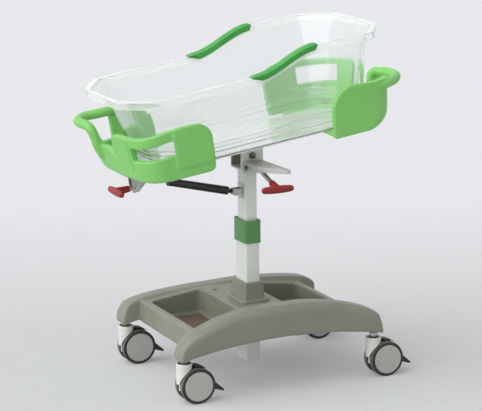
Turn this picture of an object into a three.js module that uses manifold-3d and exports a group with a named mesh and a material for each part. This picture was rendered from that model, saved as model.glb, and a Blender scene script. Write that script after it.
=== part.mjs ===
// Hospital bassinet: a clear tub on a tilting cradle, carried by a telescopic column on a castored base.
// Millimetres, +Z up. +X is the head end, -Y is the side with the height release.
import * as THREE from 'three';
import { mergeVertices } from 'three/addons/utils/BufferGeometryUtils.js';
import Module from 'manifold-3d';

const wasm = await Module();
wasm.setup();

// Driving dimensions: clearances
const SEAT = 0.3;
const RUN = 0.6;

// Driving dimensions: casters
const WHEEL_R = 50;
const WHEEL_W = 20;
const TYRE_CHAMFER = 4;
const HUB_CAP_R = 41;
const HUB_CAP_RISE = 1.2;
const WHEEL_SPACE = 14;
const TRAIL = 33;
const AXLE_R = 4;
const AXLE_BOSS_R = 13;
const AXLE_END = 4;
const SWIVEL_R = 22;
const SWIVEL_ABOVE_WHEEL = 15;
const SWIVEL_LOW = 58;
const WEB_BACK = 13;
const WHEEL_CLEAR = 3;
const STEM_R = 5.5;
const STEM_COLLAR_R = 12;
const STEM_COLLAR_H = 14;
const STEM_UP = 36;
const STEM_DOWN = 18;
const PEDAL_SLOT = 6;
const PEDAL_WIDTH = 26;
const PEDAL_GAP = 2;
const PEDAL_T = 5;
const PEDAL_REACH = 27;
const PEDAL_LOW_DEG = -14;
const PEDAL_ROOT_DEG = 0;
const PEDAL_EDGE_DEG = 3;
const HOOD_LOW_DEG = 58;
const HOOD_TOP_DEG = 96;

// Driving dimensions: base
const CASTER_SPAN_X = 585;
const CASTER_SPAN_Y = 424;
const BEAM_W = 60;
const BEAM_OVERHANG = 25;
const BEAM_CREST = 109;
const BEAM_ARCH = 21;
const BEAM_SHOULDER = 58;
const BEAM_ROUND = 12;
const NOSE_BULGE = 12;
const NOSE_LOW = 8;
const NOSE_HIGH = 32;
const SHOULDER_RUN = 28;
const SHOULDER_FALL = 20;
const STEM_BOSS_WALL = 2;
const DECK_RISE = 82;
const DECK_FALL = 22;
const DECK_HALF = 75;
const PANEL_X = 254;
const PANEL_DROP = 6;
const RIM_W = 22;
const BAY_FLOOR = 12;
const BAY_CORNER_R = 16;
const DECK_T = 14;
const CHASSIS_T = 6;

// Driving dimensions: column
const TUBE_X = 42;
const TUBE_Y = 72;
const TUBE_WALL = 2.5;
const TUBE_CORNER_R = 4;
const TUBE_BELOW_DECK = 171;
const TUBE_ABOVE_DECK = 186;
const END_PLATE_T = 4;
const END_BOLT_R = 4;
const END_BOLT_H = 4;
const COVER_X = 66;
const COVER_Y = 100;
const COVER_TAPER = 4;
const COVER_ROUND = 5;
const COVER_H = 47;
const PLINTH_X = 88;
const PLINTH_Y = 121;
const PLINTH_ROUND = 4;
const PLINTH_H = 9;
const COLLAR_WALL = 5;
const COLLAR_H = 65;
const COLLAR_LAP = 17;
const COLLAR_R = 6;
const INNER_WALL = 2.5;
const INNER_GAP_Y = 5.5;
const INNER_DOWN = 442;
const SHOE_H = 30;
const LIFT_R = 11;
const LIFT_BORE_R = 6.5;
const LIFT_H = 258;
const LIFT_ROD_R = 5;
const LIFT_ROD_DOWN = 475;
const PIVOT_RISE = 421.75;

// Driving dimensions: column head and height release
const HEAD_X = 68;
const HEAD_Y = 72;
const HEAD_PLATE = 5;
const HEAD_DROP = 41.75;
const HEAD_UP = 20;
const PIVOT_R = 6;
const BOLT_HEAD_R = 10;
const BOLT_HEAD_H = 7;
const PALM_DROP = 15;
const PALM_T = 3;
const PALM_SKIRT_ROOT = 27;
const PALM_SKIRT_TIP = 13;
const PALM_REACH = 174;
const PALM_ROOT = 60;
const PALM_KNEE_OUT = 115;
const PALM_KNEE_X = 40;
const PALM_TIP_NEAR_X = -8;
const PALM_TIP_FAR_X = 43;
const PALM_FAR_X = 54;
const PALM_FAR_BACK = 12;
const LEVER_DROP = 27;
const LEVER_OUT = 31;
const LEVER_PIN_R = 3;
const PIN_HEAD_R = 7;
const PIN_HEAD_H = 4;
const PIN_HEAD_GAP = 1.2;
const LEVER_BAR = 10;
const LEVER_BOSS_R = 5.5;
const LEVER_TAIL_T = 4;
const LEVER_TAIL_PAST = 5;
const LEVER_REACH = 128;
const LEVER_FALL = 38;
const T_BAR_R = 8;
const T_BAR_L = 98;
const T_BOSS_R = 12;
const T_BOSS_L = 40;
const T_SOCKET = 4;

// Driving dimensions: cradle and tilt strut
const TILT_DEG = 8.2;
const CRADLE_RISE = 40.3;
const CRADLE_T = 3;
const CRADLE_MARGIN_X = 10;
const CRADLE_MARGIN_Y = 8;
const CRADLE_CHAMFER = 48;
const LUG_T = 5;
const LUG_R = 21;
const LUG_TOP_T = 4;
const LUG_TOP_X = 70;
const STRUT_LOW_X = -43;
const STRUT_LOW_DROP = 106;
const STRUT_HIGH_U = -328;
const STRUT_HIGH_W = 8;
const STRUT_EYE_R = 9;
const STRUT_EYE_W = 18;
const STRUT_PIN_R = 4;
const STRUT_PIN_END = 2;
const STRUT_NECK_R = 6;
const STRUT_R = 11;
const STRUT_L = 205;
const STRUT_SOLID = 58;
const STRUT_BORE_R = 7.5;
const STRUT_ROD_R = 4.5;
const STRUT_ROD_L = 203;
const CHEEK_T = 3;
const CLEVIS_H = 40;
const HANGER_LOW = -27;
const HANGER_TOP_Y = 56;
const TILT_PIN_U = -349;
const TILT_PIN_W = -15;
const TILT_REACH = 50;
const TILT_BOSS_R = 7;

// Driving dimensions: bumpers
const BUMPER_LOW = 33;
const BUMPER_TOP = 172;
const BUMPER_GAP_X = 42;
const BUMPER_GAP_Y = 5;
const BUMPER_WALL = 20;
const BUMPER_FLARE = 20;
const WINDOW_WING = 213;
const PLAIN_WING = 200;
const BUMPER_CORNER = 75;
const CORNER_PULL = 47;
const CORNER_SHARE = 0.73;
const END_LEAN = 8;
const BUMPER_END_FLAT = 65;
const BUMPER_FLOOR = 193;
const WINDOW_TIP_R = 46;
const PLAIN_TIP_R = 66;
const TIP_LOW_R = 15;
const WINDOW_BACK = 98;
const WINDOW_IN_Y = 119;
const WINDOW_LOW = 105;
const WINDOW_TOP = 145;
const NOTCH_LOW = 108;
const NOTCH_POST = 38;
const EAR_LEG_Y = 70;
const HEAD_EAR_CUT = 28;
const FOOT_EAR_CUT = 75;
const HEAD_EAR_DROOP = 14;
const FOOT_EAR_DROOP = 0;
const EAR_TIP_OUT = 34;
const EAR_TURN = 32;
const EAR_DIP = 9;
const EAR_LEAN = 12;
const EAR_SINK = 14;
const EAR_BAR_R = 13;
const EAR_RISE = 165;

// Driving dimensions: tub
const TUB_WALL = 4;
const TUB_FLOOR_FOOT_X = -306;
const TUB_FLOOR_HEAD_X = 333;
const TUB_FLOOR_HALF_Y = 139;
const TUB_FLOOR_EDGE = 8;
const RIM_HALF_Y = 208;
const RIM_FOOT_X = -394;
const RIM_HEAD_X = 383;
const RIM_LOW = 256;
const RIM_HIGH = 307;
const RAMP_FOOT_X = -35;
const RAMP_HEAD_X = 150;
const RIM_FLARE_FOOT = 37;
const RIM_FLARE_HEAD = 17;
const RIM_FLARE_SIDE = 8;
const RIM_FLARE_DOWN = 30;
const LIP_OUT = 13;
const LIP_DOWN = 22;
const END_FLAT = 108;
const FLOOR_END_FLAT = 72;
const CHAMFER_X = 66;
const TUB_CORNER_R = 26;
const GRIP_FOOT_X = -45;
const GRIP_HEAD_X = 162;
const GRIP_H = 9;
const GRIP_LAP = 3;
const GRIP_SEAT = 0.9;

// Round resolution
const WHEEL_SEGMENTS = 20;
const ROUND_SEGMENTS = 12;
const PIN_SEGMENTS = 8;
const RAMP_STATIONS = 7;
const GRIP_STATIONS = 10;

// Heights that the stack of pieces gives
const swivelTop = 2 * WHEEL_R + SWIVEL_ABOVE_WHEEL;
const beamFoot = swivelTop + STEM_COLLAR_H + 2 * SEAT;
const deckZ = beamFoot + DECK_RISE;
const tubeFoot = deckZ - TUBE_BELOW_DECK;
const tubeTop = deckZ + TUBE_ABOVE_DECK;
const pivotZ = deckZ + PIVOT_RISE;
const headFoot = pivotZ - HEAD_DROP;
const innerX = TUBE_X - 2 * TUBE_WALL - 2 * RUN;
const innerY = TUBE_Y - 2 * TUBE_WALL - 2 * INNER_GAP_Y;
const tilt = THREE.MathUtils.degToRad(TILT_DEG);

// Solids: joining and cutting
function solidOf(geometry) {
  const bare = geometry.clone();
  bare.deleteAttribute('normal');
  bare.deleteAttribute('uv');
  const merged = mergeVertices(bare, 1e-4);
  const index = Array.from(merged.index.array);
  const whole = [];
  for (let i = 0; i < index.length; i += 3) {
    const [a, b, c] = index.slice(i, i + 3);
    if (a !== b && b !== c && c !== a) whole.push(a, b, c);
  }
  return new wasm.Manifold(new wasm.Mesh({
    numProp: 3,
    vertProperties: new Float32Array(merged.attributes.position.array),
    triVerts: new Uint32Array(whole),
  }));
}

function geometryOf(solid) {
  const mesh = solid.getMesh();
  const geometry = new THREE.BufferGeometry();
  geometry.setAttribute('position', new THREE.BufferAttribute(new Float32Array(mesh.vertProperties), 3));
  geometry.setIndex(new THREE.BufferAttribute(new Uint32Array(mesh.triVerts), 1));
  geometry.computeVertexNormals();
  return geometry;
}

const join = (...pieces) => geometryOf(pieces.map(solidOf).reduce((whole, piece) => whole.add(piece)));
const cut = (body, ...tools) => geometryOf(
  tools.map(solidOf).reduce((rest, tool) => rest.subtract(tool), solidOf(body)),
);
const common = (one, other) => geometryOf(solidOf(one).intersect(solidOf(other)));

// Basic forms, given by their limits
function block(x0, x1, y0, y1, z0, z1) {
  const box = new THREE.BoxGeometry(x1 - x0, y1 - y0, z1 - z0);
  return box.translate((x0 + x1) / 2, (y0 + y1) / 2, (z0 + z1) / 2);
}

const roundAlongY = (radius, y0, y1, x, z, segments = ROUND_SEGMENTS) => new THREE.CylinderGeometry(
  radius, radius, y1 - y0, segments,
).translate(x, (y0 + y1) / 2, z);

const roundAlongZ = (radius, z0, z1, x, y, segments = ROUND_SEGMENTS) => new THREE.CylinderGeometry(
  radius, radius, z1 - z0, segments,
).rotateX(Math.PI / 2).translate(x, y, (z0 + z1) / 2);

const roundAlongX = (radius, x0, x1, y, z, segments = ROUND_SEGMENTS) => new THREE.CylinderGeometry(
  radius, radius, x1 - x0, segments,
).rotateZ(Math.PI / 2).translate((x0 + x1) / 2, y, z);

// Radius of a bore whose flats clear the pin that turns in it
const boreR = (radius, segments = PIN_SEGMENTS) => (radius + SEAT) / Math.cos(Math.PI / segments);

function roundRect(width, depth, radius, x = 0, y = 0) {
  const [a, b] = [width / 2, depth / 2];
  const shape = new THREE.Shape();
  shape.moveTo(x - a + radius, y - b);
  shape.lineTo(x + a - radius, y - b);
  shape.absarc(x + a - radius, y - b + radius, radius, -Math.PI / 2, 0, false);
  shape.lineTo(x + a, y + b - radius);
  shape.absarc(x + a - radius, y + b - radius, radius, 0, Math.PI / 2, false);
  shape.lineTo(x - a + radius, y + b);
  shape.absarc(x - a + radius, y + b - radius, radius, Math.PI / 2, Math.PI, false);
  shape.lineTo(x - a, y - b + radius);
  shape.absarc(x - a + radius, y - b + radius, radius, Math.PI, 1.5 * Math.PI, false);
  return shape;
}

function polygon(points) {
  return new THREE.Shape(points.map(([x, y]) => new THREE.Vector2(x, y)));
}

const prismZ = (shape, z0, z1, curveSegments = 3) => new THREE.ExtrudeGeometry(
  shape, { depth: z1 - z0, bevelEnabled: false, curveSegments },
).translate(0, 0, z0);

// A shape drawn in X and Z, drawn out along Y
const prismY = (shape, y0, y1, curveSegments = 4) => new THREE.ExtrudeGeometry(
  shape, { depth: y1 - y0, bevelEnabled: false, curveSegments },
).rotateX(Math.PI / 2).translate(0, y1, 0);

const rectTube = (x, y, wall, radius, z0, z1) => cut(
  prismZ(roundRect(x, y, radius), z0, z1),
  prismZ(roundRect(x - 2 * wall, y - 2 * wall, Math.max(radius - wall, 0.8)), z0 - 1, z1 + 1),
);

// A closed skin through rings of equal length, with its two ends filled
function loft(rings) {
  const count = rings[0].length;
  const points = rings.flat();
  const index = [];
  for (let r = 0; r + 1 < rings.length; r += 1) {
    for (let i = 0; i < count; i += 1) {
      const [a, b] = [r * count + i, r * count + ((i + 1) % count)];
      index.push(a, b, b + count, a, b + count, a + count);
    }
  }
  const last = (rings.length - 1) * count;
  for (let i = 1; i + 1 < count; i += 1) {
    index.push(0, i + 1, i);
    index.push(last, last + i, last + i + 1);
  }
  const geometry = new THREE.BufferGeometry();
  geometry.setAttribute('position', new THREE.Float32BufferAttribute(points.flat(), 3));
  geometry.setIndex(index);
  geometry.computeVertexNormals();
  return geometry;
}

// A closed loop of points, counterclockwise, moved inwards by a distance
function insetLoop(points, distance) {
  return points.map((point, i) => {
    const before = points[(i + points.length - 1) % points.length];
    const after = points[(i + 1) % points.length];
    const along = after.clone().sub(before).normalize();
    return new THREE.Vector2(point.x - along.y * distance, point.y + along.x * distance);
  });
}

// Finishes
const finish = (color, roughness, metalness) => new THREE.MeshStandardMaterial(
  { color, roughness, metalness },
);
const greyMoulding = finish(0x8b8d7d, 0.55, 0);
const greenMoulding = finish(0x78be64, 0.5, 0);
const gripGreen = finish(0x4aa84f, 0.5, 0);
const collarGreen = finish(0x4c8a52, 0.5, 0);
const paintedSteel = finish(0xc9cfc6, 0.45, 0.1);
const bareSteel = finish(0x9a9a96, 0.35, 0.9);
const blackPaint = finish(0x1e1e22, 0.4, 0.2);
const redPlastic = finish(0xa52326, 0.45, 0);
const whitePlastic = finish(0xd7dad2, 0.45, 0);
const blackPlastic = finish(0x232324, 0.6, 0);
const wheelRubber = finish(0x2a2a29, 0.8, 0);
const nylon = finish(0xd8d6cc, 0.6, 0);
const clearAcrylic = new THREE.MeshStandardMaterial({
  color: 0xeef3f2, roughness: 0.08, metalness: 0, transparent: true, opacity: 0.3,
});

const assembly = new THREE.Group();

function place(group, name, geometry, material) {
  const mesh = new THREE.Mesh(geometry, material);
  mesh.name = name;
  group.add(mesh);
}

// Casters: each is drawn round its swivel axis, trailing towards +X
const forkT = WHEEL_SPACE - 2 * RUN;
const wheelOuter = WHEEL_SPACE / 2 + WHEEL_W;
const axleHalf = wheelOuter - AXLE_END;

function casterHousing() {
  const barrel = roundAlongZ(SWIVEL_R, SWIVEL_LOW, swivelTop, 0, 0, 16);
  const [webLow, webHigh] = [WHEEL_R - AXLE_BOSS_R, WHEEL_R + AXLE_BOSS_R];
  const web = block(-WEB_BACK, TRAIL, -forkT / 2, forkT / 2, webLow, webHigh);
  const boss = roundAlongY(AXLE_BOSS_R, -forkT / 2, forkT / 2, TRAIL, WHEEL_R);
  const clearance = [-1, 1].map((side) => {
    const [inner, outer] = [side * forkT / 2, side * (wheelOuter + SWIVEL_R)];
    const [low, high] = [Math.min(inner, outer), Math.max(inner, outer)];
    return roundAlongY(WHEEL_R + WHEEL_CLEAR, low, high, TRAIL, WHEEL_R, WHEEL_SEGMENTS);
  });
  const half = PEDAL_SLOT / 2;
  const slot = [
    roundAlongY(AXLE_BOSS_R + RUN, -half, half, TRAIL, WHEEL_R),
    block(TRAIL, TRAIL + 2 * AXLE_BOSS_R, -half, half, webLow, webHigh),
    block(TRAIL - AXLE_BOSS_R, TRAIL, -half, half, WHEEL_R, webHigh + 1),
  ];
  const axleBore = roundAlongY(boreR(AXLE_R), -forkT, forkT, TRAIL, WHEEL_R, PIN_SEGMENTS);
  const stemFoot = swivelTop - STEM_DOWN - SEAT;
  const stemBore = roundAlongZ(boreR(STEM_R, ROUND_SEGMENTS), stemFoot, swivelTop + 1, 0, 0);
  return cut(join(cut(barrel, ...clearance), web, boss), ...slot, axleBore, stemBore);
}

const casterStem = () => join(
  roundAlongZ(STEM_R, swivelTop - STEM_DOWN, beamFoot + STEM_UP, 0, 0),
  roundAlongZ(STEM_COLLAR_R, swivelTop + SEAT, swivelTop + SEAT + STEM_COLLAR_H, 0, 0),
);

function casterWheel(side) {
  const face = WHEEL_SPACE / 2;
  const tread = WHEEL_R - TYRE_CHAMFER;
  const bore = AXLE_R + SEAT;
  const profile = [
    [0, wheelOuter + HUB_CAP_RISE], [HUB_CAP_R, wheelOuter + HUB_CAP_RISE], [HUB_CAP_R, wheelOuter],
    [tread, wheelOuter], [WHEEL_R, wheelOuter - TYRE_CHAMFER], [WHEEL_R, face + TYRE_CHAMFER],
    [tread, face], [bore, face], [bore, axleHalf + SEAT], [0, axleHalf + SEAT],
  ].reverse();
  const points = profile.map(([r, y]) => new THREE.Vector2(r, y));
  const wheel = geometryOf(solidOf(new THREE.LatheGeometry(points, WHEEL_SEGMENTS)));
  if (side < 0) wheel.rotateX(Math.PI);
  return wheel.translate(TRAIL, 0, WHEEL_R);
}

// The pedal turns on the axle: a hood over the wheels and a wedge for the foot, on arms in the fork's slot
function brakePedal() {
  const inner = WHEEL_R + PEDAL_GAP;
  const outer = inner + PEDAL_T;
  const [low, top] = [HOOD_LOW_DEG, HOOD_TOP_DEG].map(THREE.MathUtils.degToRad);
  const hood = new THREE.Shape();
  hood.absarc(0, 0, outer, low, top, false);
  hood.absarc(0, 0, inner, top, low, true);
  const at = (radius, degrees) => {
    const angle = THREE.MathUtils.degToRad(degrees);
    return [radius * Math.cos(angle), radius * Math.sin(angle)];
  };
  const wedge = polygon([
    at(inner + PEDAL_T / 2, PEDAL_LOW_DEG), at(outer + PEDAL_REACH, PEDAL_LOW_DEG),
    at(outer + PEDAL_REACH, PEDAL_LOW_DEG + PEDAL_EDGE_DEG), at(inner + PEDAL_T / 2, PEDAL_ROOT_DEG),
  ]);
  const half = PEDAL_SLOT / 2 - SEAT;
  const arm = (from, to) => block(0, outer - SEAT, -half, half, -AXLE_BOSS_R / 2, AXLE_BOSS_R / 2)
    .rotateY(-THREE.MathUtils.degToRad((from + to) / 2));
  const whole = join(
    prismY(hood, -PEDAL_WIDTH / 2, PEDAL_WIDTH / 2, 8),
    prismY(wedge, -PEDAL_WIDTH / 2, PEDAL_WIDTH / 2),
    arm(PEDAL_LOW_DEG, PEDAL_ROOT_DEG),
    arm(HOOD_LOW_DEG, HOOD_TOP_DEG),
    roundAlongY(AXLE_BOSS_R - RUN, -half, half, 0, 0),
  );
  const bore = roundAlongY(boreR(AXLE_R), -PEDAL_WIDTH, PEDAL_WIDTH, 0, 0, PIN_SEGMENTS);
  return cut(whole, bore).translate(TRAIL, 0, WHEEL_R);
}

const corners = [
  ['foot_front', -1, -1], ['foot_back', -1, 1], ['head_front', 1, -1], ['head_back', 1, 1],
].map(([tag, end, side]) => ({ tag, side, x: end * CASTER_SPAN_X / 2, y: side * CASTER_SPAN_Y / 2 }));

for (const { tag, side, x, y } of corners) {
  const caster = new THREE.Group();
  caster.position.set(x, y, 0);
  const axle = roundAlongY(AXLE_R, -axleHalf, axleHalf, TRAIL, WHEEL_R, PIN_SEGMENTS);
  place(caster, `caster_stem_${tag}`, casterStem(), bareSteel);
  place(caster, `caster_housing_${tag}`, casterHousing(), whitePlastic);
  place(caster, `caster_axle_${tag}`, axle, bareSteel);
  place(caster, `wheel_outer_${tag}`, casterWheel(side), wheelRubber);
  place(caster, `wheel_inner_${tag}`, casterWheel(-side), wheelRubber);
  place(caster, `brake_pedal_${tag}`, brakePedal(), blackPlastic);
  assembly.add(caster);
}

// Base moulding: two arched side beams, a sloped deck with two storage bays and a hollow under the column
const noseX = CASTER_SPAN_X / 2 + BEAM_OVERHANG;
const beamY = CASTER_SPAN_Y / 2;
const bayInner = DECK_HALF;
const bayOuter = PANEL_X - RIM_W;
const bayHalfY = beamY - BEAM_W / 2 - RIM_W;
const panelFoot = beamFoot - PANEL_DROP;
const tubeHole = (z0, z1) => prismZ(roundRect(TUBE_X + 2 * SEAT, TUBE_Y + 2 * SEAT, TUBE_CORNER_R), z0, z1);

function sideBeam(y) {
  const shape = new THREE.Shape();
  const nose = noseX - NOSE_LOW;
  const bulge = nose + NOSE_BULGE;
  const [shoulder, crest] = [beamFoot + BEAM_SHOULDER, beamFoot + BEAM_CREST];
  const [low, high] = [beamFoot + NOSE_LOW, beamFoot + NOSE_HIGH];
  const [bendX, bendZ] = [nose - SHOULDER_RUN, crest - SHOULDER_FALL];
  shape.moveTo(-nose, beamFoot);
  shape.quadraticCurveTo(0, beamFoot + 2 * BEAM_ARCH, nose, beamFoot);
  shape.bezierCurveTo(bulge, low, bulge, high, nose, shoulder);
  shape.bezierCurveTo(bendX, bendZ, noseX / 2, crest, 0, crest);
  shape.bezierCurveTo(-noseX / 2, crest, -bendX, bendZ, -nose, shoulder);
  shape.bezierCurveTo(-bulge, high, -bulge, low, -nose, beamFoot);
  const outline = shape.getPoints(6).slice(0, -1);
  const edge = [0, 0.5, 1].map((share) => {
    const turn = share * Math.PI / 2;
    return [BEAM_ROUND * (1 - Math.sin(turn)), BEAM_W / 2 - BEAM_ROUND * (1 - Math.cos(turn))];
  });
  const rings = [...edge, ...edge.map(([inset, out]) => [inset, -out]).reverse()];
  return loft(rings.map(([inset, out]) => insetLoop(outline, inset).map((p) => [p.x, y + out, p.y])));
}

function baseMoulding() {
  const deck = polygon([
    [-PANEL_X, panelFoot], [PANEL_X, panelFoot], [PANEL_X, deckZ - DECK_FALL], [DECK_HALF, deckZ],
    [-DECK_HALF, deckZ], [-PANEL_X, deckZ - DECK_FALL],
  ]);
  const bayShape = (side) => roundRect(
    bayOuter - bayInner, 2 * bayHalfY, BAY_CORNER_R, side * (bayInner + bayOuter) / 2, 0,
  );
  const bays = [-1, 1].map((side) => prismZ(bayShape(side), panelFoot + BAY_FLOOR, deckZ + 1));
  const pocket = DECK_HALF - BAY_FLOOR;
  const hollow = block(-pocket, pocket, -bayHalfY, bayHalfY, panelFoot - 1, deckZ - DECK_T);
  const column = tubeHole(panelFoot - 1, deckZ + 1);
  const stemTop = beamFoot + STEM_UP + SEAT;
  const under = beamFoot - BEAM_ARCH;
  const stems = corners.map(({ x, y }) => roundAlongZ(boreR(STEM_R, ROUND_SEGMENTS), under, stemTop, x, y));
  const seats = corners.map(({ x, y }) => roundAlongZ(STEM_COLLAR_R + SEAT, under, beamFoot, x, y));
  const bosses = corners.map(({ x, y }) => roundAlongZ(
    STEM_COLLAR_R + STEM_BOSS_WALL, beamFoot, beamFoot + BEAM_ARCH, x, y,
  ));
  const body = join(prismY(deck, -beamY, beamY), sideBeam(-beamY), sideBeam(beamY), ...bosses);
  return cut(body, ...bays, hollow, column, ...stems, ...seats);
}

place(assembly, 'base_moulding', baseMoulding(), greyMoulding);

// Outer column: tube through the base, steel chassis plate, foot cover, guide collar and lift spring
function chassisPlate() {
  const top = deckZ - DECK_T - SEAT;
  const half = DECK_HALF - BAY_FLOOR - SEAT;
  const plate = block(-half, half, SEAT - bayHalfY, bayHalfY - SEAT, top - CHASSIS_T, top);
  return cut(plate, tubeHole(top - 2 * CHASSIS_T, top + 1));
}

function endPlate() {
  const foot = tubeFoot - END_PLATE_T;
  return join(
    prismZ(roundRect(TUBE_X, TUBE_Y, TUBE_CORNER_R), foot, tubeFoot),
    roundAlongZ(END_BOLT_R, foot - END_BOLT_H, tubeFoot - END_PLATE_T / 2, 0, 0, 6),
  );
}

function footCover() {
  const low = deckZ + SEAT;
  const mid = low + PLINTH_H;
  const top = mid + COVER_H;
  const plan = (x, y, inset, z) => {
    const [a, b] = [x / 2 - inset, y / 2 - inset];
    return [[-a, -b, z], [a, -b, z], [a, b, z], [-a, b, z]];
  };
  const plinth = loft([
    plan(PLINTH_X, PLINTH_Y, 0, low),
    plan(PLINTH_X, PLINTH_Y, 0, mid - PLINTH_ROUND),
    plan(PLINTH_X, PLINTH_Y, PLINTH_ROUND, mid),
  ]);
  const skirt = loft([
    plan(COVER_X, COVER_Y, 0, mid - PLINTH_ROUND / 2),
    plan(COVER_X, COVER_Y, COVER_TAPER, top - COVER_ROUND),
    plan(COVER_X, COVER_Y, COVER_TAPER + COVER_ROUND, top),
  ]);
  return cut(join(plinth, skirt), tubeHole(low - 1, top + 1));
}

function guideCollar() {
  const low = tubeTop - COLLAR_LAP;
  const plan = roundRect(TUBE_X + 2 * COLLAR_WALL, TUBE_Y + 2 * COLLAR_WALL, COLLAR_R);
  const outer = prismZ(plan, low, low + COLLAR_H);
  const bore = prismZ(roundRect(innerX + RUN, innerY + RUN, TUBE_CORNER_R), low - 1, low + COLLAR_H + 1);
  return cut(outer, bore, tubeHole(low - 1, tubeTop + SEAT));
}

function liftCylinder() {
  const low = tubeFoot + SEAT;
  return cut(
    roundAlongZ(LIFT_R, low, low + LIFT_H, 0, 0),
    roundAlongZ(LIFT_BORE_R, low + LIFT_R, low + LIFT_H + 1, 0, 0, PIN_SEGMENTS),
  );
}

const outerTube = rectTube(TUBE_X, TUBE_Y, TUBE_WALL, TUBE_CORNER_R, tubeFoot + SEAT, tubeTop);
place(assembly, 'chassis_plate', chassisPlate(), bareSteel);
place(assembly, 'column_outer_tube', outerTube, paintedSteel);
place(assembly, 'column_end_plate', endPlate(), paintedSteel);
place(assembly, 'column_foot_cover', footCover(), greyMoulding);
place(assembly, 'column_guide_collar', guideCollar(), collarGreen);
place(assembly, 'lift_spring_cylinder', liftCylinder(), blackPaint);

// Inner column: tube, guide shoe, lift rod and the U-shaped head that carries the tilt pivot
const innerFoot = headFoot - INNER_DOWN;
const headHalfY = HEAD_Y / 2;
const leverZ = pivotZ - LEVER_DROP;
const leverY = -headHalfY - LEVER_OUT;
const palmZ = pivotZ - PALM_DROP;

function columnHead() {
  const u = polygon([
    [-headHalfY, headFoot], [headHalfY, headFoot], [headHalfY, pivotZ + HEAD_UP],
    [headHalfY - HEAD_PLATE, pivotZ + HEAD_UP], [headHalfY - HEAD_PLATE, headFoot + HEAD_PLATE],
    [HEAD_PLATE - headHalfY, headFoot + HEAD_PLATE], [HEAD_PLATE - headHalfY, pivotZ + HEAD_UP],
    [-headHalfY, pivotZ + HEAD_UP],
  ]);
  const channel = prismY(u, -HEAD_X / 2, HEAD_X / 2).rotateZ(Math.PI / 2);
  const rod = roundAlongZ(boreR(LIFT_ROD_R), headFoot - 1, headFoot + HEAD_PLATE + 1, 0, 0, PIN_SEGMENTS);
  const pivot = roundAlongY(boreR(PIVOT_R, ROUND_SEGMENTS), -HEAD_Y, HEAD_Y, 0, pivotZ);
  const slotHalf = LEVER_BAR / 2 + RUN;
  const leverSlot = block(-slotHalf, slotHalf, -HEAD_Y, 0, headFoot + HEAD_PLATE, leverZ + LEVER_BAR);
  return cut(channel, rod, pivot, leverSlot);
}

// Bolt across the head, with its head at the front and its nut at the back
function pivotBolt() {
  const face = headHalfY + SEAT;
  return join(
    roundAlongY(PIVOT_R, -face - 1, face + 1, 0, pivotZ),
    roundAlongY(BOLT_HEAD_R, -face - BOLT_HEAD_H, -face, 0, pivotZ, 6),
    roundAlongY(BOLT_HEAD_R, face, face + BOLT_HEAD_H, 0, pivotZ, 6),
  );
}

function guideShoe() {
  const [x, y] = [TUBE_X - 2 * TUBE_WALL - RUN, TUBE_Y - 2 * TUBE_WALL - RUN];
  const top = innerFoot - SEAT;
  const bore = roundAlongZ(LIFT_R + RUN, top - SHOE_H - 1, top + 1, 0, 0);
  return cut(prismZ(roundRect(x, y, 2), top - SHOE_H, top), bore);
}

// Palm plate: a folded sheet tray, open below and at its root, with flanges that carry the lever's pin
const palmRoot = -headHalfY - SEAT;

function palmOutline(inset) {
  const far = palmRoot - PALM_REACH;
  const start = inset ? palmRoot + 1 : palmRoot;
  return [
    [inset - PALM_ROOT / 2, start], [inset - PALM_KNEE_X, palmRoot - PALM_KNEE_OUT],
    [PALM_TIP_NEAR_X + inset / 2, far + inset], [PALM_TIP_FAR_X - inset / 2, far + inset],
    [PALM_FAR_X - inset, far + PALM_FAR_BACK], [PALM_ROOT / 2 - inset, start],
  ];
}

function palmPlate() {
  const [deep, shallow] = [palmZ - PALM_SKIRT_ROOT, palmZ - PALM_SKIRT_TIP];
  const tray = cut(
    prismZ(polygon(palmOutline(0)), deep, palmZ),
    prismZ(polygon(palmOutline(PALM_T)), deep - 1, palmZ - PALM_T),
  );
  const past = palmRoot - PALM_REACH - 1;
  const below = polygon([
    [palmRoot + 1, deep - 1], [palmRoot + 1, deep], [palmRoot - PALM_KNEE_OUT, shallow], [past, shallow],
    [past, deep - 1],
  ]);
  const trim = prismY(below, -PALM_REACH, PALM_REACH).rotateZ(Math.PI / 2);
  const pin = roundAlongX(boreR(LEVER_PIN_R), -PALM_REACH, PALM_REACH, leverY, leverZ, PIN_SEGMENTS);
  return cut(tray, trim, pin);
}

// The lever's pin spans the flanges, with a head outside each
function leverPin() {
  const share = (leverY - palmRoot) / -PALM_KNEE_OUT;
  const near = -THREE.MathUtils.lerp(PALM_ROOT / 2, PALM_KNEE_X, share) - PIN_HEAD_GAP;
  const farShare = (palmRoot - leverY) / (PALM_REACH - PALM_FAR_BACK);
  const far = THREE.MathUtils.lerp(PALM_ROOT / 2, PALM_FAR_X, farShare) + PIN_HEAD_GAP;
  return join(
    roundAlongX(LEVER_PIN_R, near - 1, far + 1, leverY, leverZ, PIN_SEGMENTS),
    roundAlongX(PIN_HEAD_R, near - PIN_HEAD_H, near, leverY, leverZ, 6),
    roundAlongX(PIN_HEAD_R, far, far + PIN_HEAD_H, leverY, leverZ, 6),
  );
}

// Clevis on the tube's foot-end face, for the lower eye of the tilt strut
const strutLow = new THREE.Vector3(STRUT_LOW_X, 0, pivotZ - STRUT_LOW_DROP);
const cheekInner = STRUT_EYE_W / 2 + RUN;
const cheekOuter = cheekInner + CHEEK_T;

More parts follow.
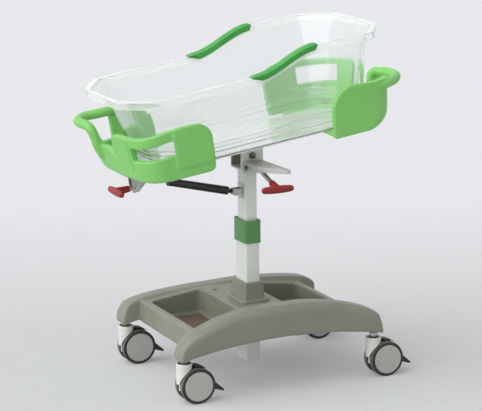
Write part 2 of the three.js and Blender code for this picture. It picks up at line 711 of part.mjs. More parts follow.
function strutClevis() {
  const back = -innerX / 2 - SEAT;
  const [low, high] = [strutLow.z - CLEVIS_H / 2, strutLow.z + CLEVIS_H / 2];
  const plate = block(back - CHEEK_T, back, -cheekOuter - CHEEK_T, cheekOuter + CHEEK_T, low, high);
  const cheeks = [-1, 1].map((side) => {
    const [a, b] = [side * cheekInner, side * cheekOuter].sort((p, q) => p - q);
    return join(
      block(strutLow.x, back - CHEEK_T / 2, a, b, strutLow.z - STRUT_EYE_R, strutLow.z + STRUT_EYE_R),
      roundAlongY(STRUT_EYE_R, a, b, strutLow.x, strutLow.z),
    );
  });
  const bore = roundAlongY(boreR(STRUT_PIN_R), -HEAD_Y, HEAD_Y, strutLow.x, strutLow.z, PIN_SEGMENTS);
  return cut(join(plate, ...cheeks), bore);
}

// A pin across the two cheeks of a clevis
const cheekPin = (radius, x, z) => roundAlongY(
  radius, -cheekOuter - STRUT_PIN_END, cheekOuter + STRUT_PIN_END, x, z, PIN_SEGMENTS,
);

const innerTube = rectTube(innerX, innerY, INNER_WALL, TUBE_CORNER_R, innerFoot, headFoot - SEAT);
const liftRod = roundAlongZ(LIFT_ROD_R, headFoot - LIFT_ROD_DOWN, headFoot + HEAD_PLATE, 0, 0, PIN_SEGMENTS);
place(assembly, 'column_inner_tube', innerTube, paintedSteel);
place(assembly, 'column_guide_shoe', guideShoe(), nylon);
place(assembly, 'lift_spring_rod', liftRod, bareSteel);
place(assembly, 'column_head', columnHead(), paintedSteel);
place(assembly, 'tilt_pivot_bolt', pivotBolt(), bareSteel);
place(assembly, 'height_palm_plate', palmPlate(), paintedSteel);
place(assembly, 'height_lever_pin', leverPin(), bareSteel);
place(assembly, 'strut_clevis', strutClevis(), bareSteel);
place(assembly, 'strut_lower_pin', cheekPin(STRUT_PIN_R, strutLow.x, strutLow.z), bareSteel);

// Height release: a lever through the head's front wall, with a red T handle under the palm plate
const leverSlope = Math.atan2(LEVER_FALL, LEVER_REACH);

function heightLever() {
  const half = LEVER_BAR / 2;
  const boss = roundAlongX(LEVER_BOSS_R, -half, half, leverY, leverZ);
  const tail = block(-half, half, leverY, LEVER_TAIL_PAST, leverZ, leverZ + LEVER_TAIL_T);
  const arm = block(-half, half, -Math.hypot(LEVER_REACH, LEVER_FALL), 0, -LEVER_TAIL_T, LEVER_TAIL_T);
  arm.rotateX(leverSlope).translate(0, leverY, leverZ);
  const pin = roundAlongX(boreR(LEVER_PIN_R), -LEVER_BAR, LEVER_BAR, leverY, leverZ, PIN_SEGMENTS);
  return cut(join(boss, tail, arm), pin);
}

// A T handle along X with its boss towards +Y, with its origin where the bar that it caps ends
function teeHandle() {
  const half = LEVER_BAR / 2 + SEAT;
  const straight = T_BAR_L - 2 * T_BAR_R;
  const bar = new THREE.CapsuleGeometry(T_BAR_R, straight, 3, ROUND_SEGMENTS).rotateZ(Math.PI / 2);
  const boss = roundAlongY(T_BOSS_R, 0, T_BOSS_L, 0, 0);
  const socket = block(-half, half, T_SOCKET, T_BOSS_L + 1, -LEVER_TAIL_T - SEAT, LEVER_TAIL_T + SEAT);
  return cut(join(bar, boss), socket).translate(0, -T_SOCKET - SEAT, 0);
}

const heightHandle = new THREE.Group();
heightHandle.position.set(0, leverY - LEVER_REACH, leverZ - LEVER_FALL);
heightHandle.rotation.x = leverSlope;
place(heightHandle, 'height_release_handle', teeHandle(), redPlastic);
assembly.add(heightHandle);
place(assembly, 'height_release_lever', heightLever(), bareSteel);

// Cradle: everything below is drawn level about the tilt pivot and turned with it
const cradle = new THREE.Group();
cradle.position.set(0, 0, pivotZ);
cradle.rotation.y = -tilt;
assembly.add(cradle);

function cradlePlate() {
  const [x, y] = [TUB_FLOOR_HEAD_X - CRADLE_MARGIN_X, TUB_FLOOR_HALF_Y - CRADLE_MARGIN_Y];
  const c = CRADLE_CHAMFER;
  const plan = polygon([
    [-x, c - y], [c - x, -y], [x - c, -y], [x, c - y], [x, y - c], [x - c, y], [c - x, y], [-x, y - c],
  ]);
  return prismZ(plan, CRADLE_RISE, CRADLE_RISE + CRADLE_T);
}

function pivotBracket() {
  const outer = headHalfY - HEAD_PLATE - RUN;
  const top = CRADLE_RISE - SEAT;
  const deck = block(-LUG_TOP_X / 2, LUG_TOP_X / 2, -outer, outer, top - LUG_TOP_T, top);
  const lugs = [-1, 1].map((side) => {
    const [a, b] = [side * (outer - LUG_T), side * outer].sort((p, q) => p - q);
    return join(roundAlongY(LUG_R, a, b, 0, 0), block(-LUG_R, LUG_R, a, b, 0, top - LUG_TOP_T / 2));
  });
  return cut(join(deck, ...lugs), roundAlongY(boreR(PIVOT_R, ROUND_SEGMENTS), -HEAD_Y, HEAD_Y, 0, 0));
}

// Hanger under the foot bumper: it holds the strut's upper pin and the tilt lever's pin
function strutHanger() {
  const top = BUMPER_LOW - SEAT;
  const [left, right] = [TILT_PIN_U - STRUT_EYE_R, STRUT_HIGH_U + 2 * STRUT_EYE_R];
  const half = HANGER_TOP_Y / 2;
  const deck = block(left - STRUT_EYE_R, right + STRUT_EYE_R, -half, half, top - CHEEK_T, top);
  const cheeks = [-1, 1].map((side) => {
    const [a, b] = [side * cheekInner, side * cheekOuter].sort((p, q) => p - q);
    const plan = polygon([
      [left, HANGER_LOW], [TILT_PIN_U + STRUT_EYE_R, HANGER_LOW], [right, STRUT_HIGH_W - STRUT_EYE_R],
      [right, top - CHEEK_T / 2], [left, top - CHEEK_T / 2],
    ]);
    return prismY(plan, a, b);
  });
  const bore = (radius, u, w) => roundAlongY(boreR(radius), -HEAD_Y, HEAD_Y, u, w, PIN_SEGMENTS);
  const strutBore = bore(STRUT_PIN_R, STRUT_HIGH_U, STRUT_HIGH_W);
  const leverBore = bore(LEVER_PIN_R, TILT_PIN_U, TILT_PIN_W);
  return cut(join(deck, ...cheeks), strutBore, leverBore);
}

function tiltLever() {
  const half = LEVER_BAR / 2;
  const [low, high] = [TILT_PIN_W - LEVER_TAIL_T, TILT_PIN_W + LEVER_TAIL_T];
  const boss = roundAlongY(TILT_BOSS_R, SEAT - cheekInner, cheekInner - SEAT, TILT_PIN_U, TILT_PIN_W);
  const arm = block(TILT_PIN_U - TILT_REACH, TILT_PIN_U, -half, half, low, high);
  const bore = roundAlongY(boreR(LEVER_PIN_R), -HEAD_Y, HEAD_Y, TILT_PIN_U, TILT_PIN_W, PIN_SEGMENTS);
  return cut(join(boss, arm), bore);
}

place(cradle, 'cradle_plate', cradlePlate(), paintedSteel);
place(cradle, 'cradle_pivot_bracket', pivotBracket(), paintedSteel);
place(cradle, 'strut_hanger', strutHanger(), bareSteel);
place(cradle, 'strut_upper_pin', cheekPin(STRUT_PIN_R, STRUT_HIGH_U, STRUT_HIGH_W), bareSteel);
place(cradle, 'tilt_lever_pin', cheekPin(LEVER_PIN_R, TILT_PIN_U, TILT_PIN_W), bareSteel);
place(cradle, 'tilt_release_lever', tiltLever(), bareSteel);

const tiltHandle = new THREE.Group();
tiltHandle.position.set(TILT_PIN_U - TILT_REACH, 0, TILT_PIN_W);
tiltHandle.rotation.z = -Math.PI / 2;
place(tiltHandle, 'tilt_release_handle', teeHandle(), redPlastic);
cradle.add(tiltHandle);

// Tilt strut: a gas spring from the column's clevis to the cradle's hanger
const strutHigh = new THREE.Vector3(STRUT_HIGH_U, 0, STRUT_HIGH_W)
  .applyAxisAngle(new THREE.Vector3(0, 1, 0), -tilt).add(new THREE.Vector3(0, 0, pivotZ));
const strutRun = strutHigh.clone().sub(strutLow);
const strut = new THREE.Group();
strut.position.copy(strutLow);
strut.rotation.y = -Math.atan2(strutRun.z, strutRun.x);
assembly.add(strut);

const strutEye = (x) => roundAlongY(STRUT_EYE_R, -STRUT_EYE_W / 2, STRUT_EYE_W / 2, x, 0);
const strutEyeBore = (x) => roundAlongY(boreR(STRUT_PIN_R), -STRUT_EYE_W, STRUT_EYE_W, x, 0, PIN_SEGMENTS);

function strutBarrel() {
  const body = join(
    strutEye(0),
    roundAlongX(STRUT_NECK_R, 0, 3 * STRUT_EYE_R, 0, 0),
    roundAlongX(STRUT_R, 2 * STRUT_EYE_R, STRUT_L, 0, 0),
  );
  return cut(body, strutEyeBore(0), roundAlongX(STRUT_BORE_R, STRUT_SOLID, STRUT_L + 1, 0, 0));
}

function strutRod() {
  const end = strutRun.length();
  const body = join(strutEye(end), roundAlongX(STRUT_ROD_R, end - STRUT_ROD_L, end, 0, 0, PIN_SEGMENTS));
  return cut(body, strutEyeBore(end));
}

place(strut, 'strut_barrel', strutBarrel(), blackPaint);
place(strut, 'strut_rod', strutRod(), bareSteel);

// Tub walls rise in a straight line from the floor's edge and flare out under the rim
const tubFloor = CRADLE_RISE + CRADLE_T + SEAT;
const wallFoot = tubFloor + TUB_FLOOR_EDGE;
const flareFoot = RIM_FOOT_X + RIM_FLARE_FOOT;
const flareHead = RIM_HEAD_X - RIM_FLARE_HEAD;
const flareSide = RIM_HALF_Y - RIM_FLARE_SIDE;
const wallAt = (height, foot, top, rim) => {
  return THREE.MathUtils.mapLinear(height, wallFoot, rim - RIM_FLARE_DOWN, foot, top);
};

// Bumper: a flared U-shaped wall on a floor, one wing windowed, one wing solid with a looped handle beside it
const tubReach = Math.max(
  -wallAt(BUMPER_TOP, TUB_FLOOR_FOOT_X, flareFoot, RIM_LOW),
  wallAt(BUMPER_TOP, TUB_FLOOR_HEAD_X, flareHead, RIM_HIGH),
);
const tubSide = wallAt(BUMPER_TOP, TUB_FLOOR_HALF_Y, flareSide, RIM_LOW);
const endX = tubReach + BUMPER_GAP_X + BUMPER_WALL - BUMPER_FLARE;
const outY = tubSide + BUMPER_GAP_Y + BUMPER_WALL;
const tipX = endX - WINDOW_WING;
const cornerX = endX - BUMPER_CORNER;

function bumperOutline(inset) {
  const [x, y] = [endX - inset, outY - inset];
  const corner = cornerX - inset * BUMPER_CORNER / outY;
  const [pull, lean] = [corner + CORNER_PULL, x - END_LEAN];
  const outline = new THREE.Shape();
  outline.moveTo(tipX, -y);
  outline.lineTo(corner, -y);
  outline.bezierCurveTo(pull, -y, lean, -y * CORNER_SHARE, x, -BUMPER_END_FLAT);
  outline.lineTo(x, BUMPER_END_FLAT);
  outline.bezierCurveTo(lean, y * CORNER_SHARE, pull, y, corner, y);
  outline.lineTo(tipX, y);
  return outline;
}

// The end wall leans outwards towards its top
function flare(geometry) {
  const position = geometry.attributes.position;
  for (let i = 0; i < position.count; i += 1) {
    const rise = (position.getZ(i) - BUMPER_LOW) / (BUMPER_TOP - BUMPER_LOW);
    const lean = THREE.MathUtils.smoothstep(position.getX(i), cornerX - BUMPER_WALL, endX);
    position.setX(i, position.getX(i) + BUMPER_FLARE * rise * lean);
  }
  return geometry;
}

// Side view of a wing, over the half of the bumper given by its sign
function wingSide(sign, tip, tipR) {
  const [far, low, top] = [endX + BUMPER_FLARE + 1, BUMPER_LOW, BUMPER_TOP];
  const [y0, y1] = [-1, outY + 1].map((y) => sign * y).sort((a, b) => a - b);
  const side = new THREE.Shape();
  side.moveTo(tip + TIP_LOW_R, low);
  side.lineTo(far, low);
  side.lineTo(far, top);
  side.lineTo(tip + tipR, top);
  side.absarc(tip + tipR, top - tipR, tipR, Math.PI / 2, Math.PI, false);
  side.lineTo(tip, low + TIP_LOW_R);
  side.absarc(tip + TIP_LOW_R, low + TIP_LOW_R, TIP_LOW_R, Math.PI, 1.5 * Math.PI, false);
  return prismY(side, y0, y1, 5);
}

// The looped handle: along the wing's top, round the corner and down into the end wall
function earBar(droop) {
  const y = EAR_BAR_R - outY;
  const tip = endX + EAR_TIP_OUT;
  const rise = EAR_RISE - droop;
  const route = new THREE.CatmullRomCurve3([
    [cornerX - 2 * EAR_BAR_R, y, EAR_RISE], [cornerX + EAR_TURN, y, EAR_RISE - droop / 2],
    [tip - EAR_TURN, y, rise], [tip - EAR_TURN / 8, y + EAR_TURN, rise], [tip, (y - EAR_LEG_Y) / 2, rise],
    [tip - EAR_DIP, -EAR_LEG_Y - EAR_DIP, rise - EAR_DIP],
    [endX + EAR_LEAN, -EAR_LEG_Y, NOTCH_LOW + EAR_LEAN], [endX, -EAR_LEG_Y, NOTCH_LOW - EAR_SINK],
  ].map((point) => new THREE.Vector3(...point)));
  const section = new THREE.Shape();
  section.absarc(0, 0, EAR_BAR_R, 0, 2 * Math.PI, false);
  return new THREE.ExtrudeGeometry(section, {
    steps: 22, curveSegments: 4, bevelEnabled: false, extrudePath: route,
  });
}

function bumper(earCut, droop) {
  const [above, far] = [BUMPER_TOP + 1, endX + 4 * BUMPER_FLARE];
  const [innerWall, legInner] = [outY - BUMPER_WALL, EAR_BAR_R - EAR_LEG_Y];
  const shell = cut(
    flare(prismZ(bumperOutline(0), BUMPER_LOW, BUMPER_TOP, 8)),
    flare(prismZ(bumperOutline(BUMPER_WALL), CRADLE_RISE - SEAT, above, 8)),
    block(tipX - 1, endX - BUMPER_FLOOR, -innerWall, innerWall, BUMPER_LOW - 1, BUMPER_TOP),
  );
  const window = block(endX - WINDOW_BACK, far, WINDOW_IN_Y, outY + 1, WINDOW_LOW, WINDOW_TOP);
  const notch = block(endX - 3 * BUMPER_WALL, far, legInner, NOTCH_POST, NOTCH_LOW, above);
  const earGap = block(endX - earCut, far, -outY - 1, legInner, NOTCH_LOW, above);
  const wings = join(wingSide(1, tipX, WINDOW_TIP_R), wingSide(-1, endX - PLAIN_WING, PLAIN_TIP_R));
  return join(cut(common(shell, wings), window, notch, earGap), earBar(droop));
}

const bumperHead = bumper(HEAD_EAR_CUT, HEAD_EAR_DROOP);
const bumperFoot = bumper(FOOT_EAR_CUT, FOOT_EAR_DROOP).rotateZ(Math.PI);
place(cradle, 'bumper_head', bumperHead, greenMoulding);
place(cradle, 'bumper_foot', bumperFoot, greenMoulding);

// Tub: eight-sided, with a rim that climbs towards the head and a turned-down lip
const rimRise = (u) => THREE.MathUtils.lerp(
  RIM_LOW, RIM_HIGH, THREE.MathUtils.smoothstep(u, RAMP_FOOT_X, RAMP_HEAD_X),
);

// Plan of the tub grown outwards by a distance, with rounded corners and extra stations on the ramp
function tubPlan(foot, head, halfY, endFlat, grow) {
  const [a, b, y] = [foot - grow, head + grow, halfY + grow];
  const e = endFlat + grow * END_FLAT / RIM_HALF_Y;
  const cornerPoints = [
    [a, -e], [a + CHAMFER_X, -y], [b - CHAMFER_X, -y], [b, -e],
    [b, e], [b - CHAMFER_X, y], [a + CHAMFER_X, y], [a, e],
  ].map(([px, py]) => new THREE.Vector2(px, py));
  const ramp = Array.from({ length: RAMP_STATIONS }, (_, k) => THREE.MathUtils.lerp(
    RAMP_FOOT_X, RAMP_HEAD_X, k / (RAMP_STATIONS - 1),
  ));
  const points = [];
  cornerPoints.forEach((corner, i) => {
    const before = cornerPoints[(i + 7) % 8].clone().sub(corner).setLength(TUB_CORNER_R).add(corner);
    const after = cornerPoints[(i + 1) % 8].clone().sub(corner).setLength(TUB_CORNER_R).add(corner);
    const turn = new THREE.QuadraticBezierCurve(before, corner, after);
    points.push(...turn.getPoints(2));
    if (i === 1) points.push(...ramp.map((u) => new THREE.Vector2(u, -y)));
    if (i === 5) points.push(...ramp.reverse().map((u) => new THREE.Vector2(u, y)));
  });
  return points;
}

function tub() {
  const rim = (grow, drop) => tubPlan(RIM_FOOT_X, RIM_HEAD_X, RIM_HALF_Y, END_FLAT, grow)
    .map((p) => [p.x, p.y, rimRise(p.x) - drop]);
  const neck = (grow, drop) => tubPlan(flareFoot, flareHead, flareSide, END_FLAT - RIM_FLARE_SIDE, grow)
    .map((p) => [p.x, p.y, rimRise(p.x) - drop]);
  const floorPlan = [TUB_FLOOR_FOOT_X, TUB_FLOOR_HEAD_X, TUB_FLOOR_HALF_Y, FLOOR_END_FLAT];
  const floor = (grow, z) => tubPlan(...floorPlan, grow).map((p) => [p.x, p.y, z]);
  const lipInner = LIP_OUT - TUB_WALL;
  return loft([
    floor(-TUB_FLOOR_EDGE, tubFloor), floor(0, wallFoot), neck(0, RIM_FLARE_DOWN), rim(0, TUB_WALL),
    rim(lipInner, TUB_WALL), rim(lipInner, LIP_DOWN), rim(LIP_OUT, LIP_DOWN), rim(LIP_OUT, 0),
    rim(-TUB_WALL, 0), neck(-TUB_WALL, RIM_FLARE_DOWN - TUB_WALL / 2),
    floor(-TUB_WALL, wallFoot + TUB_WALL), floor(-TUB_WALL - TUB_FLOOR_EDGE, tubFloor + TUB_WALL),
  ]);
}

// Grip strip along the ramp of the rim, on the side given by its sign
function rimGrip(side) {
  const [inner, outer] = [RIM_HALF_Y - TUB_WALL - GRIP_LAP, RIM_HALF_Y + LIP_OUT + GRIP_LAP];
  return loft(Array.from({ length: GRIP_STATIONS }, (_, k) => {
    const u = THREE.MathUtils.lerp(GRIP_FOOT_X, GRIP_HEAD_X, k / (GRIP_STATIONS - 1));
    const low = rimRise(u) + GRIP_SEAT;
    const ring = [[u, inner, low], [u, outer, low], [u, outer, low + GRIP_H], [u, inner, low + GRIP_H]];
    return side > 0 ? ring : ring.map(([x, y, z]) => [x, -y, z]).reverse();
  }));
}

place(cradle, 'tub', tub(), clearAcrylic);
place(cradle, 'rim_grip_front', rimGrip(-1), gripGreen);
place(cradle, 'rim_grip_back', rimGrip(1), gripGreen);

// The origin lies on the floor, under the middle of the whole length
const extent = new THREE.Box3().setFromObject(assembly, true);
assembly.position.x = -(extent.min.x + extent.max.x) / 2;

export default assembly;
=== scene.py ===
import math
from dataclasses import dataclass

import bmesh
import bpy
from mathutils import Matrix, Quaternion, Vector


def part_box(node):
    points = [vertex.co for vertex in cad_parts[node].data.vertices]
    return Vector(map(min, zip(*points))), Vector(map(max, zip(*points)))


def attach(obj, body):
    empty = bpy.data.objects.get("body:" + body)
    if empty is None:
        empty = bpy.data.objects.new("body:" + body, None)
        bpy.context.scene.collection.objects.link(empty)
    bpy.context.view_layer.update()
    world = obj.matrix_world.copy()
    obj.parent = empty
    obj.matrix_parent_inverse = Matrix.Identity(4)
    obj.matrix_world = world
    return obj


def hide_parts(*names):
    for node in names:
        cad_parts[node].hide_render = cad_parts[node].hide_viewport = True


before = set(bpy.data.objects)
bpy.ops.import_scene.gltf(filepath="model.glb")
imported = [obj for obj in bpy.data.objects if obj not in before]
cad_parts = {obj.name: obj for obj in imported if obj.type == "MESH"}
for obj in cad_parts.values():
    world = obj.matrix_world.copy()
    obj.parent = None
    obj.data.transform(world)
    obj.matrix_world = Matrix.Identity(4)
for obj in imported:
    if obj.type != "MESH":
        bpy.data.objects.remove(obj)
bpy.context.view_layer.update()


def middle(node):
    low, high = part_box(node)
    return (low + high) / 2


# Places that the frame gives
COLUMN_X = middle("column_outer_tube").x
PIVOT = middle("tilt_pivot_bolt")
DECK_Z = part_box("column_foot_cover")[0].z
COVER_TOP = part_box("column_foot_cover")[1].z
COLLAR_LOW, COLLAR_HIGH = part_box("column_guide_collar")
STEM_BELOW_BEAM = 0.0326
BEAM_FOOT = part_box("caster_stem_foot_front")[0].z + STEM_BELOW_BEAM
STRUT_LOW = middle("strut_lower_pin")
STRUT_HIGH = middle("strut_upper_pin")

# Sizes of the casters
WHEEL_R = 0.050
WHEEL_W = 0.020
TYRE_ROUND = 0.004
TREAD_LEAN = 0.5
TYRE_FLANK = 0.012
FLANK_STEP = 0.002
HUB_GAP = 0.0006
HUB_RECESS = 0.0015
HUB_CAP_R = 0.0415
HUB_CAP_PLAY = 0.0004
HUB_CAP_T = 0.0022
HUB_CAP_RISE = 0.0012
HUB_CAP_RINGS = ((0.0022, -0.0004), (0.010, 0.0002), (0.014, 0.0001))
WHEEL_SPACE = 0.014
TRAIL = 0.033
SWIVEL_R = 0.022
SWIVEL_TOP = 0.115
SWIVEL_LOW = 0.058
SWIVEL_SEAM = 0.102
SWIVEL_SEAM_W = 0.0012
SWIVEL_SEAM_DEPTH = 0.0008
SWIVEL_SEAM_EDGE = 0.0002
SWIVEL_RIM = 0.002
SWIVEL_LIP = 0.0015
SWIVEL_LIP_EDGE = 0.0005
# The dark ring set into the barrel's top
DARK_RING_MARGIN = 0.0045
DARK_RING_T = 0.0025
DARK_RING_BELOW = 0.0002
DARK_RING_LIP = 0.0022
DARK_RING_DISH = 0.0006
WHEEL_CLEAR = 0.003
AXLE_BOSS_R = 0.013
FORK_T = 0.0128
WEB_BACK = -0.013
WHEEL_ROOM = 0.04
STEM_GAP = 0.0003
STEM_DOWN = 0.017
STEM_UP = 0.034
STEM_R = 0.0055
STEM_COLLAR_R = 0.012
STEM_COLLAR_H = 0.014
PEDAL_W = 0.026
PEDAL_ARM_W = 0.0054
PEDAL_ARM_H = 0.011
PEDAL_ARM_LAP = 0.003
PEDAL_RING_PLAY = 0.0006
HOOD_IN_R = 0.052
HOOD_OUT_R = 0.057
HOOD_THIN = 0.0014
HOOD_LOW = math.radians(58)
HOOD_TOP = math.radians(96)
HOOD_FULL = 0.8
WEDGE_LIFT = 0.001
WEDGE_T = 0.005
WEDGE_REACH = 0.084
WEDGE_LOW = math.radians(-18)
WEDGE_EDGE = math.radians(-14.5)
WEDGE_ROOT = math.radians(0)

# Sizes of the base
BEAM_Y = 0.212
BEAM_W = 0.060
BEAM_NOSE = 0.3095
BEAM_ARCH = 0.027
BEAM_SHOULDER = 0.058
BEAM_ROUND = 0.020
BEAM_INNER_ROUND = 0.005
BEAM_SOLE_ROUND = 0.004
BEAM_SOLE_TOP = 0.022
BEAM_CHIN = 0.007
NOSE_BULGE = 0.004
NOSE_LEAN = 0.005
NOSE_LOW = 0.012
NOSE_HIGH = 0.032
BACK_FALL = 0.006
CREST_END = 0.070
COVER_SEAT = 0.0003
DECK_TOP = DECK_Z - COVER_SEAT
DECK_FALL = 0.022
DECK_HALF = 0.075
PANEL_X = 0.254
PANEL_DROP = 0.005
HEAD_DROP = 0.001
PANEL_SKIRT = 0.034
FLOOR_T = 0.009
MIDDLE_RISE = 0.020
DECK_LAP = 0.006
BAY_SIDE_T = 0.010
RIM_UNDER = 0.016
CHAMFER_IN = 0.004
RIM_W = 0.022
BAY_FLOOR = 0.013
BAY_CORNER_R = 0.016
BAY_FLOOR_R = 0.008
BAY_OPEN = 0.02
DECK_T = 0.014
HOLLOW_OPEN = 0.01
BASE_VOXEL = 0.004
MAT_MARGIN = 0.010
MAT_SUNK = 0.001
MAT_RISE = 0.002
MAT_CORNER_R = 0.012
MAT_EDGE = 0.004
MAT_CROWN = 0.0008
SCREW_X = 0.045
SCREW_Y = 0.13
SCREW_R = 0.0055
SCREW_SUNK = 0.002
SCREW_RISE = 0.0022
SCREW_RIM = 0.0025
SOCKET_EDGE = 0.0003
SOCKET_DEPTH = 0.0015

# Sizes of the column
TUBE_ROUND = 0.004
TUBE_T = 0.0025
TUBE_END_EDGE = 0.0002
TUBE_END_DEPTH = 0.004
COVER_X = 0.066
COVER_Y = 0.100
COVER_SUNK = 0.004
COVER_TAPER = 0.004
COVER_CORNER_R = 0.006
COVER_TOP_R = 0.0045
COVER_SEAM = 0.01285
COVER_SEAM_HALF = 0.00065
COVER_SEAM_SHRINK = (0.972, 0.982, 1)
PLINTH_X = 0.088
PLINTH_Y = 0.121
PLINTH_H = 0.009
PLINTH_CORNER_R = 0.018
PLINTH_TOP_R = 0.004
COLLAR_ROUND = 0.008
COLLAR_RIM = 0.0035
COLLAR_EDGE = 0.0012
COLLAR_GROOVE = 0.006
COLLAR_GROOVE_HALF = 0.0005
COLLAR_GROOVE_SHRINK = (0.97, 0.98, 1)

# Sizes of the release handles and the tilt strut
PALM_ROOT = 0.060
PALM_TIP_SHARE = 0.76
PALM_TAPER = 0.72
PALM_DEEP = 1.25
PALM_THIN = 0.65
T_BAR_R = 0.008
T_BAR_L = 0.098
T_SWELL = 0.5
T_BOSS_R = 0.012
T_BOSS_L = 0.040
T_BACK = 0.0043
T_BOSS_TAPER = (0.82, 1, 0.72)
T_SHOULDER_SPREAD = (2.6, 1, 0.9)
T_SHOULDER_L = 1.6
T_VOXEL = 0.0013
LEVER_RUN = 0.128
LEVER_FALL = 0.038
LEVER_SLOPE = math.atan2(LEVER_FALL, LEVER_RUN)
TILT_HANDLE_SPOT = (-0.399, 0, -0.015)
STRUT_R = 0.012
STRUT_L = 0.205
STRUT_NECK_R = 0.006
STRUT_EYE_R = 0.009
STRUT_EYE_W = 0.018
STRUT_ROD_R = 0.0045
STRUT_ROD_L = 0.203
STRUT_GROOVE = 0.013
STRUT_GROOVE_HALF = 0.001
STRUT_GROOVE_SHRINK = (1, 0.93, 0.93)
STRUT_MOUTH_RIM = 0.0042
STRUT_MOUTH_DEPTH = 0.002
PIN_RIM = 0.45
PIN_DISH = 0.0006
NUT_R = 0.0085
NUT_T = 0.005
NUT_RIM = 0.35
NUT_CONE = 0.15
NUT_RISE = 0.3

# Sizes of the cradle's pieces, level about the tilt pivot
TILT = math.radians(8.2)
BUMPER_LOW = 0.033
BUMPER_TOP = 0.172
BUMPER_WALL = 0.018
BUMPER_END = 0.3931
BUMPER_SIDE = 0.2061
END_TUCK_R = 0.010
PLAIN_TIP_LEAN = 0.012
PLAIN_WING_TIP = BUMPER_END - 0.200
BUMPER_CORNER = BUMPER_END - 0.075
BUMPER_FLARE = 0.020
BUMPER_END_FLAT = 0.065
BUMPER_FLOOR_TIP = BUMPER_END - 0.193
BUMPER_FLOOR_TOP = 0.040
BUMPER_FLOOR_LIFT = 0.0005
BUMPER_VOXEL = 0.0026
BUMPER_ROWS = (0.038, 0.046, 0.053, 0.073, 0.084, 0.095, 0.118, 0.128, 0.137, 0.148, 0.160, 0.167)
WING_SHARES = (0, 0.018, 0.05, 0.1, 0.17, 0.26, 0.37, 0.5, 0.64, 0.8, 0.93)
POST_SHARES = (0.35, 0.15, 0.04)
FLOOR_IN = 0.95
CORNER_SOFT = 0.047
PLAIN_PULL = 0.047
WINDOW_PULL = 0.056
WINDOW_SHARE = 0.80
END_LEAN = 0.008
WINDOW_WING_R = 0.046
PLAIN_WING_R = 0.066
WINDOW_LOW_R = 0.018
PLAIN_LOW_R = 0.006
WINDOW_IN_Y = 0.140
CREASE_Y = 0.132
CREASE_HALF = 0.0045
CREASE_DEPTH = 0.0045
CREASE_LOW = 0.058
CREASE_TOP = 0.148
CREASE_FACING = 0.5
NOTCH_LOW = 0.108
NOTCH_POST = 0.038
NOTCH_LEG = -0.057
POST_R = 0.028
EAR_WEB_R = 0.012
EAR_TURN = 0.032
EAR_BAR_R = 0.0137
PANEL_LOW = 0.059
PANEL_RAISE = 0.004
PANEL_STEP = 0.003

# Sizes of the tub
TUB_WALL = 0.004
TUB_FLOOR = 0.0436
TUB_FLOOR_FOOT = -0.306
TUB_FLOOR_HEAD = 0.341
TUB_FLOOR_Y = 0.139
TUB_FLOOR_EDGE = 0.008
RIM_Y = 0.208
RIM_FOOT = -0.394
RIM_HEAD = 0.383
RIM_LOW = 0.260
RIM_HIGH = 0.309
RAMP_FOOT = -0.035
RAMP_HEAD = 0.150
RIM_FLARE_FOOT = 0.037
RIM_FLARE_HEAD = 0.009
RIM_FLARE_SIDE = 0.008
RIM_FLARE_DOWN = 0.030
LIP_OUT = 0.013
LIP_DOWN = 0.022
END_FLAT = 0.108
FLOOR_END_FLAT = 0.072
CHAMFER_X = 0.066
TUB_CORNER_R = 0.026
LIP_ROUND = 0.0018
LIP_TURN = 0.001
LIP_START = 0.0012
LIP_ARC = 0.3
LIP_TOP_LEAN = 0.6
WALL_RIDGE = 0.0012
RIB_SHARES = (0.06, 0.13, 0.20)
RIB_SECTION = ((0, 0), (0.006, WALL_RIDGE), (0.016, WALL_RIDGE), (0.022, 0))
TUB_FLOOR_RING = 0.05
FLOOR_TURNS = (0, 0.4, 0.8, 1.2)
WALL_SHARES = (0.4, 0.65, 0.9)
FLARE_SHARES = (0.25, 0.5, 0.75, 1)
FLARE_UNDER = TUB_WALL * 1.4
LIP_UNDER = TUB_WALL * 1.1
RAMP_STEPS = 12
TUB_CORNER_STEPS = 5
GRIP_FOOT = -0.049
GRIP_HEAD = 0.155
GRIP_CROWN = 0.006
GRIP_LAP = 0.003
GRIP_SEAT = 0.0009
GRIP_SKIRT = 0.012
GRIP_FOOT_SLANT = 0.030
GRIP_HEAD_SLANT = 0.008
GRIP_FOOT_ROUND = 0.016
GRIP_HEAD_ROUND = 0.010
GRIP_END_LEFT = 0.002
GRIP_RIDGE = 0.0011
GRIP_RIDGES = 3
GRIP_STATIONS = 48
GRIP_SKIRT_STEPS = 18
GRIP_CROWN_SHARES = (0.06, 0.16, 0.3, 0.5, 0.7, 0.84, 0.94)

# Widths of softened edges
DARK_RING_EDGE = 0.0004
PEDAL_EDGE = 0.0005
FINE_EDGE = 0.0006
PIN_EDGE = 0.0007
PLATE_EDGE = 0.0008
HEAD_EDGE = 0.0009
TURNED_EDGE = 0.001
BOLD_EDGE = 0.0012

# How closely a face or an edge lies along an axis to count as facing it
FACING = 0.99
UPRIGHT = 0.8
ACROSS = 0.1

TAGS = ("foot_front", "foot_back", "head_front", "head_back")
TINY = 1e-5


# Modelling by hand: add, open, pick, apply
def clear_selection():
    if bpy.context.object and bpy.context.object.mode != "OBJECT":
        bpy.ops.object.mode_set(mode="OBJECT")
    bpy.ops.object.select_all(action="DESELECT")


def take(piece):
    clear_selection()
    piece.select_set(True)
    bpy.context.view_layer.objects.active = piece
    return piece


def begin(name, primitive, **size):
    clear_selection()
    primitive(**size)
    piece = bpy.context.object
    piece.name = name
    piece.data.name = name
    bpy.ops.object.transform_apply(location=True, rotation=True, scale=True)
    return piece


def block(name, low, high):
    low, high = Vector(low), Vector(high)
    return begin(
        name, bpy.ops.mesh.primitive_cube_add, size=1, scale=high - low, location=(low + high) / 2,
    )


